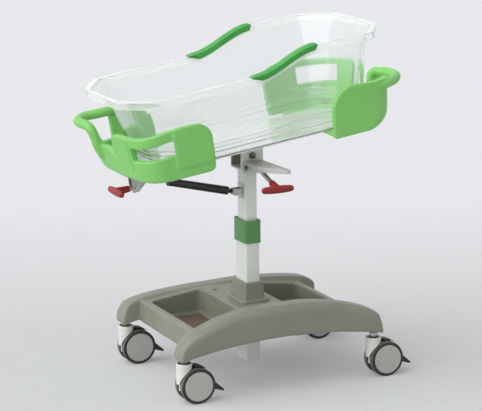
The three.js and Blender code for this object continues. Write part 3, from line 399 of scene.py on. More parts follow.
def drum(name, radius, start, end, vertices=48):
    """A cylinder from one point to another."""
    start, end = Vector(start), Vector(end)
    turn = (end - start).to_track_quat("Z", "Y").to_euler()
    return begin(
        name, bpy.ops.mesh.primitive_cylinder_add, vertices=vertices, radius=radius,
        depth=(end - start).length, location=(start + end) / 2, rotation=turn,
    )


def open_piece(piece):
    take(piece)
    bpy.ops.object.mode_set(mode="EDIT")
    bpy.ops.mesh.select_all(action="DESELECT")


def pick(kind, test):
    """Selects in the open piece what passes a test of its middle and its normal, or an edge's direction."""
    bpy.ops.mesh.select_mode(type=kind)
    bpy.ops.mesh.select_all(action="DESELECT")
    shape = bmesh.from_edit_mesh(bpy.context.object.data)
    if kind == "FACE":
        for face in shape.faces:
            face.select_set(test(face.calc_center_median(), face.normal))
    elif kind == "EDGE":
        for edge in shape.edges:
            start, end = (corner.co for corner in edge.verts)
            edge.select_set(test((start + end) / 2, (end - start).normalized()))
    else:
        for point in shape.verts:
            point.select_set(test(point.co, point.normal))
    shape.select_flush_mode()
    bmesh.update_edit_mesh(bpy.context.object.data)


def cut_round(point, normal):
    """An edge all the way round the open piece where a plane meets it."""
    bpy.ops.mesh.select_all(action="SELECT")
    bpy.ops.mesh.bisect(plane_co=point, plane_no=normal)


def facing(axis, both=False):
    """A test for faces that look along an axis, or along it either way."""
    axis = Vector(axis)
    if both:
        return lambda place, normal: abs(normal.dot(axis)) > FACING
    return lambda place, normal: normal.dot(axis) > FACING


def upright(place, along):
    return abs(along.z) > UPRIGHT


def round_edges(width, segments, test):
    pick("EDGE", test)
    bpy.ops.mesh.bevel(offset=width, segments=segments, affect="EDGES")


def step_in(test, *steps, each=False):
    """Insets the faces that pass a test, step after step, each with a width and a depth."""
    pick("FACE", test)
    for width, depth in steps:
        bpy.ops.mesh.inset(thickness=width, depth=depth, use_individual=each)


def press_groove(centre, axis, half, shrink):
    """Presses a narrow groove round the open piece, across an axis."""
    centre, axis = Vector(centre), Vector(axis)
    for step in (-half, half):
        cut_round(centre + axis * step, axis)

    def in_groove(place, normal):
        return abs((place - centre).dot(axis)) < half * 0.6 and abs(normal.dot(axis)) < 0.3

    pick("FACE", in_groove)
    bpy.ops.transform.resize(value=shrink, center_override=centre)


def apply(piece, kind, **settings):
    take(piece)
    modifier = piece.modifiers.new(kind.lower(), kind)
    for name, value in settings.items():
        setattr(modifier, name, value)
    bpy.ops.object.modifier_apply(modifier=modifier.name)
    return piece


def carve(piece, *tools, operation="DIFFERENCE"):
    for tool in tools:
        apply(piece, "BOOLEAN", operation=operation, object=tool, solver="EXACT")
        bpy.data.objects.remove(tool)
    return piece


def soften(piece, width, segments=3, angle=35):
    return apply(
        piece, "BEVEL", width=width, segments=segments, limit_method="ANGLE", angle_limit=math.radians(angle),
    )


def mould(piece, voxel, rounds):
    """One moulding out of overlapping closed shapes, with soft fillets where they meet."""
    apply(piece, "REMESH", mode="VOXEL", voxel_size=voxel)
    return apply(piece, "SMOOTH", factor=0.5, iterations=rounds)


def join(name, *parts):
    take(parts[0])
    for part in parts[1:]:
        part.select_set(True)
    bpy.ops.object.join()
    parts[0].name = name
    return parts[0]


def copy_of(piece, name):
    take(piece)
    bpy.ops.object.duplicate(linked=False)
    twin = bpy.context.object
    twin.name = name
    twin.data.name = name
    return twin


def settle(piece, place=(0, 0, 0), turn=(0, 0, 0)):
    """Turns and moves a piece, and leaves its place in its mesh."""
    take(piece)
    piece.rotation_euler = turn
    piece.location = place
    bpy.ops.object.transform_apply(location=True, rotation=True, scale=True)
    return piece


def onto_cradle(piece):
    return settle(piece, PIVOT, (0, -TILT, 0))


def make_outward(piece):
    open_piece(piece)
    bpy.ops.mesh.select_all(action="SELECT")
    bpy.ops.mesh.remove_doubles(threshold=TINY)
    bpy.ops.mesh.normals_make_consistent(inside=False)
    clear_selection()
    return piece


def sheet(name, across, up):
    """A flat grid whose lines lie at the given places."""
    columns, rows = len(across) - 1, len(up) - 1
    piece = begin(name, bpy.ops.mesh.primitive_grid_add, x_subdivisions=columns, y_subdivisions=rows, size=1)
    for point in piece.data.vertices:
        column, row = round((point.co.x + 0.5) * columns), round((point.co.y + 0.5) * rows)
        point.co = (across[column], up[row], 0)
    return piece


def loft(name, rings):
    """A closed skin through rings of as many points each."""
    around, steps = len(rings[0]), len(rings) - 1
    piece = begin(name, bpy.ops.mesh.primitive_grid_add, x_subdivisions=around, y_subdivisions=steps, size=1)
    for point in piece.data.vertices:
        column, row = round((point.co.x + 0.5) * around) % around, round((point.co.y + 0.5) * steps)
        point.co = rings[row][column]
    make_outward(piece)
    open_piece(piece)
    bpy.ops.mesh.select_all(action="SELECT")
    bpy.ops.mesh.fill_holes(sides=0)
    return make_outward(piece)


def pipe(name, route, radius):
    """A round bar along a smooth route through the given points."""
    clear_selection()
    bpy.ops.curve.primitive_bezier_curve_add()
    bar = bpy.context.object
    bar.name = name
    spline = bar.data.splines[0]
    spline.bezier_points.add(len(route) - len(spline.bezier_points))
    for knot, place in zip(spline.bezier_points, route):
        knot.co = place
        knot.handle_left_type = "AUTO"
        knot.handle_right_type = "AUTO"
    bar.data.bevel_depth = radius
    bar.data.bevel_resolution = 8
    bar.data.use_fill_caps = True
    bpy.ops.object.convert(target="MESH")
    return make_outward(bar)


def smoothstep(low, high, value):
    share = min(max((value - low) / (high - low), 0), 1)
    return share * share * (3 - 2 * share)


def between(low, high, share):
    return low + (high - low) * share


def cubic(a, b, c, d, count):
    """Points along a cubic curve, without its last one."""
    points = []
    for step in range(count):
        t = step / count
        s = 1 - t
        start = Vector(a) * s**3 + Vector(b) * 3 * s * s * t
        points.append(start + Vector(c) * 3 * s * t * t + Vector(d) * t**3)
    return points


def inward(loop, distances):
    """A closed flat loop, counterclockwise, whose points each move inwards by their own distance."""
    moved = []
    for i, (point, distance) in enumerate(zip(loop, distances)):
        along = (loop[(i + 1) % len(loop)] - loop[i - 1]).normalized()
        moved.append(point + Vector((-along.y, along.x)) * distance)
    return moved


# Effects that several finishes share
def shader_group(name, inputs, outputs):
    group = bpy.data.node_groups.new(name, "ShaderNodeTree")
    for socket, kind, value in inputs:
        made = group.interface.new_socket(socket, in_out="INPUT", socket_type=kind)
        made.default_value = value
    for socket, kind in outputs:
        group.interface.new_socket(socket, in_out="OUTPUT", socket_type=kind)
    return group, group.nodes.new("NodeGroupInput"), group.nodes.new("NodeGroupOutput")


def add(tree, kind, **settings):
    node = tree.nodes.new(kind)
    for name, value in settings.items():
        setattr(node, name, value)
    return node


def calculate(tree, operation, first, second):
    node = add(tree, "ShaderNodeMath", operation=operation)
    for socket, value in zip(node.inputs, (first, second)):
        if isinstance(value, (int, float)):
            socket.default_value = value
        else:
            tree.links.new(value, socket)
    return node.outputs[0]


def ranged(tree, value, low, high, start=0.0, end=1.0):
    node = add(tree, "ShaderNodeMapRange", clamp=True)
    tree.links.new(value, node.inputs["Value"])
    for socket, number in (("From Min", low), ("From Max", high), ("To Min", start), ("To Max", end)):
        if isinstance(number, (int, float)):
            node.inputs[socket].default_value = number
        else:
            tree.links.new(number, node.inputs[socket])
    return node.outputs["Result"]


def object_noise(tree, scale, detail, stretch=(1, 1, 1)):
    place = add(tree, "ShaderNodeTexCoord")
    turn = add(tree, "ShaderNodeMapping")
    turn.inputs["Scale"].default_value = stretch
    noise = add(tree, "ShaderNodeTexNoise")
    noise.inputs["Detail"].default_value = detail
    tree.links.new(place.outputs["Object"], turn.inputs["Vector"])
    tree.links.new(turn.outputs["Vector"], noise.inputs["Vector"])
    if isinstance(scale, (int, float)):
        noise.inputs["Scale"].default_value = scale
    else:
        tree.links.new(scale, noise.inputs["Scale"])
    return noise.outputs["Fac"]


def grain_group():
    """Fine moulded grain and broad, faint unevenness of a surface."""
    group, ins, outs = shader_group(
        "moulded_grain",
        [("Scale", "NodeSocketFloat", 700.0), ("Broad Scale", "NodeSocketFloat", 9.0)],
        [("Height", "NodeSocketFloat"), ("Broad", "NodeSocketFloat")],
    )
    fine = object_noise(group, ins.outputs["Scale"], 3)
    broad = object_noise(group, ins.outputs["Broad Scale"], 2)
    group.links.new(fine, outs.inputs["Height"])
    group.links.new(ranged(group, broad, 0.3, 0.7), outs.inputs["Broad"])
    return group


def wear_group():
    """Rubbed edges: where the surface turns sharply outwards, broken up by noise."""
    group, ins, outs = shader_group(
        "rubbed_edges", [("Amount", "NodeSocketFloat", 0.5)], [("Mask", "NodeSocketFloat")],
    )
    geometry = add(group, "ShaderNodeNewGeometry")
    edge = ranged(group, geometry.outputs["Pointiness"], 0.52, 0.62)
    patches = ranged(group, object_noise(group, 60.0, 4), 0.35, 0.65)
    rubbed = calculate(group, "MULTIPLY", edge, patches)
    group.links.new(calculate(group, "MULTIPLY", rubbed, ins.outputs["Amount"]), outs.inputs["Mask"])
    return group


def dust_group():
    """Dust that settles on what faces up."""
    group, ins, outs = shader_group(
        "settled_dust", [("Amount", "NodeSocketFloat", 0.2)], [("Mask", "NodeSocketFloat")],
    )
    geometry = add(group, "ShaderNodeNewGeometry")
    parts = add(group, "ShaderNodeSeparateXYZ")
    group.links.new(geometry.outputs["Normal"], parts.inputs[0])
    upward = ranged(group, parts.outputs["Z"], 0.6, 1.0)
    cloud = ranged(group, object_noise(group, 24.0, 4), 0.35, 0.75)
    settled = calculate(group, "MULTIPLY", upward, cloud)
    group.links.new(calculate(group, "MULTIPLY", settled, ins.outputs["Amount"]), outs.inputs["Mask"])
    return group


def brushed_group():
    """Fine lines of drawn or brushed metal along one direction."""
    group, ins, outs = shader_group(
        "drawn_lines", [("Scale", "NodeSocketFloat", 90.0)], [("Lines", "NodeSocketFloat")],
    )
    group.links.new(object_noise(group, ins.outputs["Scale"], 4, (1, 1, 12)), outs.inputs["Lines"])
    return group


GRAIN = grain_group()
WEAR = wear_group()
DUST = dust_group()
BRUSHED = brushed_group()


def colour(red, green, blue):
    """A colour given as it shows on a screen, from 0 to 255."""
    parts = [channel / 255 for channel in (red, green, blue)]
    linear = [c / 12.92 if c <= 0.04045 else ((c + 0.055) / 1.055) ** 2.4 for c in parts]
    return (*linear, 1)


def new_material(name):
    material = bpy.data.materials.new(name)
    material.use_nodes = True
    return material, material.node_tree, material.node_tree.nodes["Principled BSDF"]


def place_group(tree, group, **values):
    node = add(tree, "ShaderNodeGroup", node_tree=group)
    for name, value in values.items():
        node.inputs[name].default_value = value
    return node


def mix_colour(tree, share, first, second):
    node = add(tree, "ShaderNodeMix", data_type="RGBA", clamp_factor=True)
    tree.links.new(share, node.inputs["Factor"])
    for socket, value in ((node.inputs[6], first), (node.inputs[7], second)):
        if isinstance(value, tuple):
            socket.default_value = value
        else:
            tree.links.new(value, socket)
    return node.outputs[2]


def bump(tree, height, strength):
    node = add(tree, "ShaderNodeBump")
    node.inputs["Strength"].default_value = strength
    node.inputs["Distance"].default_value = BUMP_HEIGHT
    tree.links.new(height, node.inputs["Height"])
    return node.outputs["Normal"]


def surface(name, main, shade, worn, rough, grain=700.0, relief=0.1, dust=0.08, coat=0.0):
    """A moulded, painted or bare surface: main colour with faint unevenness, rubbed edges and dust."""
    material, tree, shader = new_material(name)
    texture = place_group(tree, GRAIN, Scale=grain)
    edges = place_group(tree, WEAR, Amount=PAINT_WEAR)
    settled = place_group(tree, DUST, Amount=dust)
    body = mix_colour(tree, texture.outputs["Broad"], colour(*main), colour(*shade))
    rubbed = mix_colour(tree, edges.outputs["Mask"], body, colour(*worn))
    dusty = mix_colour(tree, settled.outputs["Mask"], rubbed, DUST_COLOUR)
    tree.links.new(dusty, shader.inputs["Base Color"])
    spread = ranged(tree, texture.outputs["Height"], 0.3, 0.7, rough - 0.05, rough + 0.06)
    tree.links.new(spread, shader.inputs["Roughness"])
    tree.links.new(bump(tree, texture.outputs["Height"], relief), shader.inputs["Normal"])
    shader.inputs["Metallic"].default_value = 0.0
    shader.inputs["Coat Weight"].default_value = coat
    return material


def steel(name, main, shade, rough):
    """Drawn or brushed steel with bright rubbed edges."""
    material, tree, shader = new_material(name)
    lines = place_group(tree, BRUSHED, Scale=90.0)
    edges = place_group(tree, WEAR, Amount=STEEL_WEAR)
    body = mix_colour(tree, lines.outputs["Lines"], colour(*main), colour(*shade))
    bright = mix_colour(tree, edges.outputs["Mask"], body, RUBBED_STEEL)
    tree.links.new(bright, shader.inputs["Base Color"])
    spread = ranged(tree, lines.outputs["Lines"], 0.3, 0.7, rough - 0.08, rough + 0.1)
    tree.links.new(spread, shader.inputs["Roughness"])
    tree.links.new(bump(tree, lines.outputs["Lines"], 0.06), shader.inputs["Normal"])
    shader.inputs["Metallic"].default_value = 0.9
    return material


def clear_acrylic(name, clearness, rough, glow):
    """Clear sheet that lets lamps through to what stands behind it."""
    material, tree, shader = new_material(name)
    texture = place_group(tree, GRAIN, Scale=90.0)
    settled = place_group(tree, DUST, Amount=0.25)
    dusty = mix_colour(tree, settled.outputs["Mask"], CLEAR_WHITE, CLEAR_DUSTY)
    tree.links.new(dusty, shader.inputs["Base Color"])
    spread = ranged(tree, texture.outputs["Broad"], 0.0, 1.0, rough, rough + 0.05)
    tree.links.new(spread, shader.inputs["Roughness"])
    for socket, value in (
        ("Transmission Weight", clearness), ("IOR", 1.4), ("Specular IOR Level", 0.3),
        ("Emission Color", CLEAR_WHITE), ("Emission Strength", glow),
    ):
        shader.inputs[socket].default_value = value
    path = add(tree, "ShaderNodeLightPath")
    through = add(tree, "ShaderNodeBsdfTransparent")
    through.inputs["Color"].default_value = CLEAR_SHADOW
    both = add(tree, "ShaderNodeMixShader")
    tree.links.new(path.outputs["Is Shadow Ray"], both.inputs["Fac"])
    tree.links.new(shader.outputs["BSDF"], both.inputs[1])
    tree.links.new(through.outputs["BSDF"], both.inputs[2])
    tree.links.new(both.outputs["Shader"], tree.nodes["Material Output"].inputs["Surface"])
    return material


BUMP_HEIGHT = 0.0004
PAINT_WEAR = 0.3
STEEL_WEAR = 0.5
DUST_COLOUR = colour(206, 204, 196)
RUBBED_STEEL = colour(225, 225, 222)
CLEAR_WHITE = colour(250, 252, 251)
CLEAR_DUSTY = colour(238, 240, 239)
CLEAR_SHADOW = colour(244, 247, 246)

# Each finish: main colour, its faint shade, its rubbed edges and its roughness
BASE_GREY = surface(
    "base_moulding_grey", (135, 137, 122), (128, 130, 115), (156, 158, 143), 0.42, relief=0.16,
)
COVER_GREY = surface("foot_cover_grey", (136, 137, 125), (129, 130, 118), (156, 157, 145), 0.45)
BAY_MAT = surface(
    "bay_mat_brown", (108, 86, 72), (94, 76, 64), (126, 104, 88), 0.7, grain=350.0, relief=0.3,
)
BUMPER_GREEN = surface("bumper_green", (129, 202, 106), (123, 197, 100), (152, 215, 132), 0.45, relief=0.14)
GRIP_GREEN = surface(
    "grip_green", (74, 172, 80), (66, 162, 72), (110, 196, 112), 0.5, grain=500.0, relief=0.2,
)
COLLAR_GREEN = surface("collar_green", (86, 147, 82), (80, 140, 76), (118, 172, 110), 0.4)
COLUMN_PAINT = surface(
    "column_paint", (229, 232, 226), (224, 227, 221), (238, 240, 236), 0.34,
    grain=900.0, relief=0.05, coat=0.15,
)
PLATE_PAINT = surface("plate_paint", (190, 190, 185), (182, 183, 178), (210, 210, 206), 0.4, relief=0.06)
STRUT_BLACK = surface("strut_black", (22, 22, 25), (19, 19, 22), (60, 60, 64), 0.36, dust=0.02, coat=0.1)
HANDLE_RED = surface("handle_red", (148, 20, 26), (138, 17, 23), (176, 50, 52), 0.38, dust=0.02)
CASTER_WHITE = surface("caster_white", (214, 216, 209), (206, 208, 201), (228, 229, 224), 0.4, dust=0.1)
HUB_GREY = surface("hub_cap_grey", (180, 180, 175), (172, 172, 167), (202, 202, 197), 0.4, dust=0.02)
PEDAL_BLACK = surface("pedal_black", (36, 36, 36), (30, 30, 30), (74, 74, 72), 0.5, dust=0.05)
TYRE_RUBBER = surface(
    "tyre_rubber", (44, 44, 42), (36, 36, 35), (74, 74, 71), 0.7, grain=400.0, relief=0.3, dust=0.12,
)
# Paler grey for the tread, a painted highlight standing in for lamp light on it
LIT_TYRE_TREAD = surface(
    "tyre_tread_painted_light", (104, 104, 99), (94, 94, 89), (122, 122, 116), 0.75, grain=400.0, relief=0.3,
)
# Dark brown painted shade for the inside of the column head's channel and the bracket within it
BRACKET_SHADE_BROWN = surface("bracket_painted_shade_brown", (150, 140, 126), (132, 123, 110), (168, 158, 146), 0.6, relief=0.2)
NYLON = surface("guide_nylon", (216, 214, 204), (208, 206, 196), (226, 224, 216), 0.6)
BARE_STEEL = steel("bare_steel", (190, 190, 186), (160, 160, 157), 0.3)
DARK_STEEL = steel("dark_steel", (92, 90, 86), (70, 68, 66), 0.4)

# Clear sheet: how clear, its roughness and a faint glow, which is painted light
CLEAR = clear_acrylic("tub_acrylic", 0.95, 0.02, 0.0)
# The lip band: hazier, with a faint glow that is painted light
CLEAR_LIP = clear_acrylic("tub_lip_acrylic", 0.83, 0.13, 0.02)
# The rim's top edge: whiter and glowing, a painted highlight
EDGE_HIGHLIGHT_ACRYLIC = clear_acrylic("tub_edge_painted_highlight", 0.38, 0.25, 0.05)


def dress(piece, body, slot, material, *nodes, sharp=35):
    """Smooths a finished piece, paints it, hangs it on its body and lets it stand for its nodes."""
    take(piece)
    bpy.ops.object.shade_smooth_by_angle(angle=math.radians(sharp))
    piece.data.materials.clear()
    piece.data.materials.append(material)
    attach(piece, body)
    if nodes:
        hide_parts(*nodes)
    return piece


def paint_faces(piece, material, test):
    """Gives the faces of a dressed piece that pass a test a further finish."""
    piece.data.materials.append(material)
    for face in piece.data.polygons:
        if test(face):
            face.material_index = len(piece.data.materials) - 1


def rounded_node(node, width):
    """A copy of a node's solid with its edges broken."""
    piece = copy_of(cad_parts[node], f"{node}_smooth")
    piece.parent = None
    for key in list(piece.keys()):
        del piece[key]
    open_piece(piece)
    bpy.ops.mesh.select_all(action="SELECT")
    bpy.ops.mesh.remove_doubles(threshold=TINY)
    bpy.ops.mesh.dissolve_limited(angle_limit=math.radians(1))
    clear_selection()
    return soften(piece, width, segments=2, angle=30)


def dress_node(node, body, slot, material, width):
    return dress(rounded_node(node, width), body, slot, material, node)


# Casters: modelled once about the swivel axis, trailing towards +X, and copied to the four corners
def tyre_piece():
    """One tyre on the near side of the caster, with a recess for its hub cap."""
    near, far = -WHEEL_SPACE / 2 - WHEEL_W, -WHEEL_SPACE / 2
    tyre = drum("tyre", WHEEL_R, (TRAIL, far, WHEEL_R), (TRAIL, near, WHEEL_R), 72)
    open_piece(tyre)
    round_edges(TYRE_ROUND, 4, lambda place, along: abs(along.y) < ACROSS)
    rim = WHEEL_R - TYRE_ROUND - HUB_CAP_R - HUB_GAP
    step_in(facing((0, -1, 0)), (rim, 0), (HUB_GAP, -HUB_RECESS))
    step_in(facing((0, 1, 0)), (TYRE_FLANK, 0), (FLANK_STEP, -FLANK_STEP))
    clear_selection()
    return tyre


def hub_cap_piece():
    """A flat cap with a rolled rim and a slightly crowned face."""
    near = -WHEEL_SPACE / 2 - WHEEL_W - HUB_CAP_RISE
    back = (TRAIL, near + HUB_CAP_T, WHEEL_R)
    cap = drum("hub_cap", HUB_CAP_R - HUB_CAP_PLAY, back, (TRAIL, near, WHEEL_R), 72)
    open_piece(cap)
    round_edges(HUB_CAP_T / 2, 3, lambda place, along: abs(along.y) < ACROSS and place.y < near + TINY)
    step_in(facing((0, -1, 0)), *HUB_CAP_RINGS)
    clear_selection()
    return cap


def housing_piece():
    """White swivel barrel, hollowed round the wheels, with the web that holds the axle."""
    barrel = drum("caster_housing", SWIVEL_R, (0, 0, SWIVEL_LOW), (0, 0, SWIVEL_TOP), 72)
    open_piece(barrel)
    for height in (SWIVEL_SEAM, SWIVEL_SEAM + SWIVEL_SEAM_W):
        cut_round((0, 0, height), (0, 0, 1))
    seam = SWIVEL_SEAM + SWIVEL_SEAM_W / 2
    in_seam = SWIVEL_SEAM_W / 3
    step_in(
        lambda place, normal: abs(place.z - seam) < in_seam and abs(normal.z) < ACROSS,
        (SWIVEL_SEAM_EDGE, -SWIVEL_SEAM_DEPTH),
    )
    round_edges(SWIVEL_RIM, 3, lambda place, along: place.z > SWIVEL_TOP - TINY)
    on_top = facing((0, 0, 1))
    step_in(
        lambda place, normal: on_top(place, normal) and place.z > SWIVEL_TOP - TINY,
        (SWIVEL_LIP, 0), (SWIVEL_LIP_EDGE, -SWIVEL_RIM),
    )
    clear_selection()
    reach = WHEEL_R + WHEEL_CLEAR
    for side in (-1, 1):
        start, end = (TRAIL, side * FORK_T / 2, WHEEL_R), (TRAIL, side * WHEEL_ROOM, WHEEL_R)
        carve(barrel, drum("wheel_room", reach, start, end, 96))
    web = block(
        "web", (WEB_BACK, -FORK_T / 2, WHEEL_R - AXLE_BOSS_R), (TRAIL, FORK_T / 2, WHEEL_R + AXLE_BOSS_R),
    )
    boss = drum("boss", AXLE_BOSS_R, (TRAIL, -FORK_T / 2, WHEEL_R), (TRAIL, FORK_T / 2, WHEEL_R))
    carve(barrel, web, boss, operation="UNION")
    return soften(barrel, FINE_EDGE, 2, 50)


def dark_ring_piece():
    """Dark ring in the top of the barrel, round the stem's collar."""
    low, high = (0, 0, SWIVEL_TOP - DARK_RING_T), (0, 0, SWIVEL_TOP - DARK_RING_BELOW)
    dark_ring = drum("swivel_dark_ring", SWIVEL_R - DARK_RING_MARGIN, low, high)
    open_piece(dark_ring)
    step_in(facing((0, 0, 1)), (DARK_RING_LIP, -DARK_RING_DISH))
    clear_selection()
    return soften(dark_ring, DARK_RING_EDGE, 2)


def stem_piece():
    """Turned steel stem with a collar that seats against the beam."""
    low, high = SWIVEL_TOP + STEM_GAP, SWIVEL_TOP + STEM_GAP + STEM_COLLAR_H
    stem = drum("caster_stem", STEM_COLLAR_R, (0, 0, low), (0, 0, high))
    open_piece(stem)
    step_in(facing((0, 0, 1), both=True), (STEM_COLLAR_R - STEM_R, 0), each=True)
    for way, length in ((-1, STEM_DOWN), (1, STEM_UP)):
        ahead = facing((0, 0, way))
        pick("FACE", lambda place, normal: ahead(place, normal) and place.xy.length < TINY)
        bpy.ops.mesh.extrude_region_move(TRANSFORM_OT_translate={"value": (0, 0, way * length)})
    clear_selection()
    return soften(stem, TURNED_EDGE, 3)


def pedal_piece():
    """Brake pedal: a hood over the wheels that thins towards its front, a wedge for the foot and two arms."""
    hub = Vector((TRAIL, 0, WHEEL_R))
    half = Vector((0, PEDAL_W / 2, 0))

    def at(reach, angle):
        return hub + Vector((reach * math.cos(angle), 0, reach * math.sin(angle)))

    def across(name, profile):
        sides = [[spot - half for spot in profile], [spot + half for spot in profile]]
        return soften(loft(name, sides), BOLD_EDGE, 2, 40)

    steps = 14
    shares = [step / steps for step in range(steps + 1)]
    crown = []
    for share in shares:
        reach = between(HOOD_IN_R + HOOD_THIN, HOOD_OUT_R, smoothstep(0, HOOD_FULL, share))
        crown.append(at(reach, between(HOOD_LOW, HOOD_TOP, share)))
    under = [at(HOOD_IN_R, between(HOOD_TOP, HOOD_LOW, share)) for share in shares]
    hood = across("brake_pedal", crown + under)
    root = HOOD_IN_R + WEDGE_LIFT
    wedge = across("wedge", [
        at(root, WEDGE_LOW), at(WEDGE_REACH, WEDGE_LOW), at(WEDGE_REACH, WEDGE_EDGE),
        at(root + WEDGE_T, WEDGE_ROOT), at(root, WEDGE_ROOT),
    ])
    parts = [wedge]
    low = (0, -PEDAL_ARM_W / 2, -PEDAL_ARM_H / 2)
    high = (HOOD_IN_R + PEDAL_ARM_LAP, PEDAL_ARM_W / 2, PEDAL_ARM_H / 2)
    for angle in ((WEDGE_LOW + WEDGE_ROOT) / 2, (HOOD_LOW + HOOD_TOP) / 2):
        arm = soften(block("arm", low, high), PEDAL_EDGE, 2)
        parts.append(settle(arm, hub, (0, -angle, 0)))
    side = Vector((0, PEDAL_ARM_W / 2, 0))
    ring = drum("ring", AXLE_BOSS_R - PEDAL_RING_PLAY, hub - side, hub + side)
    parts.append(soften(ring, PEDAL_EDGE, 2))
    return join("brake_pedal", hood, *parts)


def casters():
    masters = {
        "tyre": tyre_piece(), "hub_cap": hub_cap_piece(), "caster_housing": housing_piece(),
        "swivel_dark_ring": dark_ring_piece(), "caster_stem": stem_piece(), "brake_pedal": pedal_piece(),
    }
    rolling = (("tyre", TYRE_RUBBER, "wheel_rubber"), ("hub_cap", HUB_GREY, "nylon"))
    half_turn = (0, 0, math.pi)
    for tag in TAGS:
        spot = middle(f"caster_stem_{tag}")
        spot.z = 0
        near, far = ("outer", "inner") if "front" in tag else ("inner", "outer")
        for place, kind in (("near", near), ("far", far)):
            for part, material, slot in rolling:
                piece = copy_of(masters[part], f"{part}_{kind}_{tag}")
                if place == "far":
                    settle(piece, (2 * TRAIL, 0, 0), half_turn)
                settle(piece, spot)
                nodes = (f"wheel_{kind}_{tag}",) if part == "tyre" else ()
                dress(piece, f"wheels_{tag}", slot, material, *nodes)
                if part == "tyre":
                    # The tread is painted paler than the tyre's sides: painted light where the lamp falls on
                    # it
                    paint_faces(piece, LIT_TYRE_TREAD, lambda face: abs(face.normal.y) < TREAD_LEAN)
        for part, title, body, slot, material in (
            ("caster_housing", "smooth", f"caster_{tag}", "caster_white", CASTER_WHITE),
            ("swivel_dark_ring", "smooth", f"caster_{tag}", "pedal_black", PEDAL_BLACK),
            ("brake_pedal", "smooth", f"pedal_{tag}", "pedal_black", PEDAL_BLACK),
            ("caster_stem", "turned", "base", "steel", BARE_STEEL),
        ):
            piece = settle(copy_of(masters[part], f"{part}_{title}_{tag}"), spot)
            nodes = () if part == "swivel_dark_ring" else (f"{part}_{tag}",)
            dress(piece, body, slot, material, *nodes)
    for master in masters.values():
        bpy.data.objects.remove(master)


# Base: two arched beams and a deck with two bays, run together into one moulding
@dataclass
class BeamEnd:
    crest: float
    brow_back: float
    brow_height: float
    back_run: float
    back_rise: float
    back_turn: float


NEAR_FOOT = BeamEnd(
    crest=0.116, brow_back=0.021, brow_height=0.050, back_run=0.046, back_rise=0.071, back_turn=0.170,
)
NEAR_HEAD = BeamEnd(
    crest=0.116, brow_back=0.004, brow_height=0.048, back_run=0.014, back_rise=0.078, back_turn=0.170,
)
FAR_FOOT = BeamEnd(
    crest=0.085, brow_back=0.012, brow_height=0.050, back_run=0.030, back_rise=0.069, back_turn=0.190,
)
FAR_HEAD = BeamEnd(
    crest=0.089, brow_back=0.003, brow_height=0.046, back_run=0.012, back_rise=0.076, back_turn=0.220,
)


def nose_line(shape, toe):
    """From the toe up the front of a nose and over its brow to the end of the flat crest."""
    nose, foot, crest = BEAM_NOSE, BEAM_FOOT, BEAM_FOOT + shape.crest
    brow = (nose - shape.brow_back, foot + shape.brow_height)
    front = [(nose, toe), (nose + NOSE_BULGE, foot + NOSE_LOW), (nose - NOSE_LEAN, foot + NOSE_HIGH), brow]
    back = [
        brow, (nose - shape.back_run, foot + shape.back_rise),
        (shape.back_turn, crest - BACK_FALL), (CREST_END, crest),
    ]
    return cubic(*front, 10) + cubic(*back, 24)


def beam_outline(head, foot_end):
    """Side view of a beam: an arched sole, two noses that lean back from their toes and a flat crest."""
    toe, chin = BEAM_FOOT, BEAM_FOOT - BEAM_CHIN
    rise = BEAM_FOOT + (BEAM_ARCH * 4 + BEAM_CHIN) / 3
    high, low = BEAM_FOOT + head.crest, BEAM_FOOT + foot_end.crest
    foot_side = nose_line(foot_end, chin) + [Vector((CREST_END, low))]
    third = CREST_END / 3
    return [
        *cubic((-BEAM_NOSE, chin), (-BEAM_NOSE / 3, rise), (BEAM_NOSE / 3, rise), (BEAM_NOSE, toe), 28),
        *nose_line(head, toe),
        *cubic((CREST_END, high), (third, high), (-third, low), (-CREST_END, low), 8),
        *[Vector((-point.x, point.y)) for point in reversed(foot_side[1:])],
    ]


def beam_piece(side, head, foot_end):
    """A side beam, well rounded along its outer top edge and nearly square along its other edges."""
    outline = beam_outline(head, foot_end)
    sole, shoulder = BEAM_FOOT + BEAM_SOLE_TOP, BEAM_FOOT + BEAM_SHOULDER
    centre = side * BEAM_Y
    steps = 6
    turns = [step / steps * math.pi / 2 for step in range(steps + 1)]
    rings = []
    for face, order in ((1, turns), (-1, reversed(turns))):
        top_round = BEAM_ROUND if face == side else BEAM_INNER_ROUND
        heights = [smoothstep(sole, shoulder, point.y) for point in outline]
        radii = [between(BEAM_SOLE_ROUND, top_round, height) for height in heights]
        for turn in order:
            loop = inward(outline, [radius * (1 - math.sin(turn)) for radius in radii])
            outs = [face * (BEAM_W / 2 - radius * (1 - math.cos(turn))) for radius in radii]
            rings.append([(COLUMN_X + point.x, centre + out, point.y) for point, out in zip(loop, outs)])
    return loft("beam", rings)


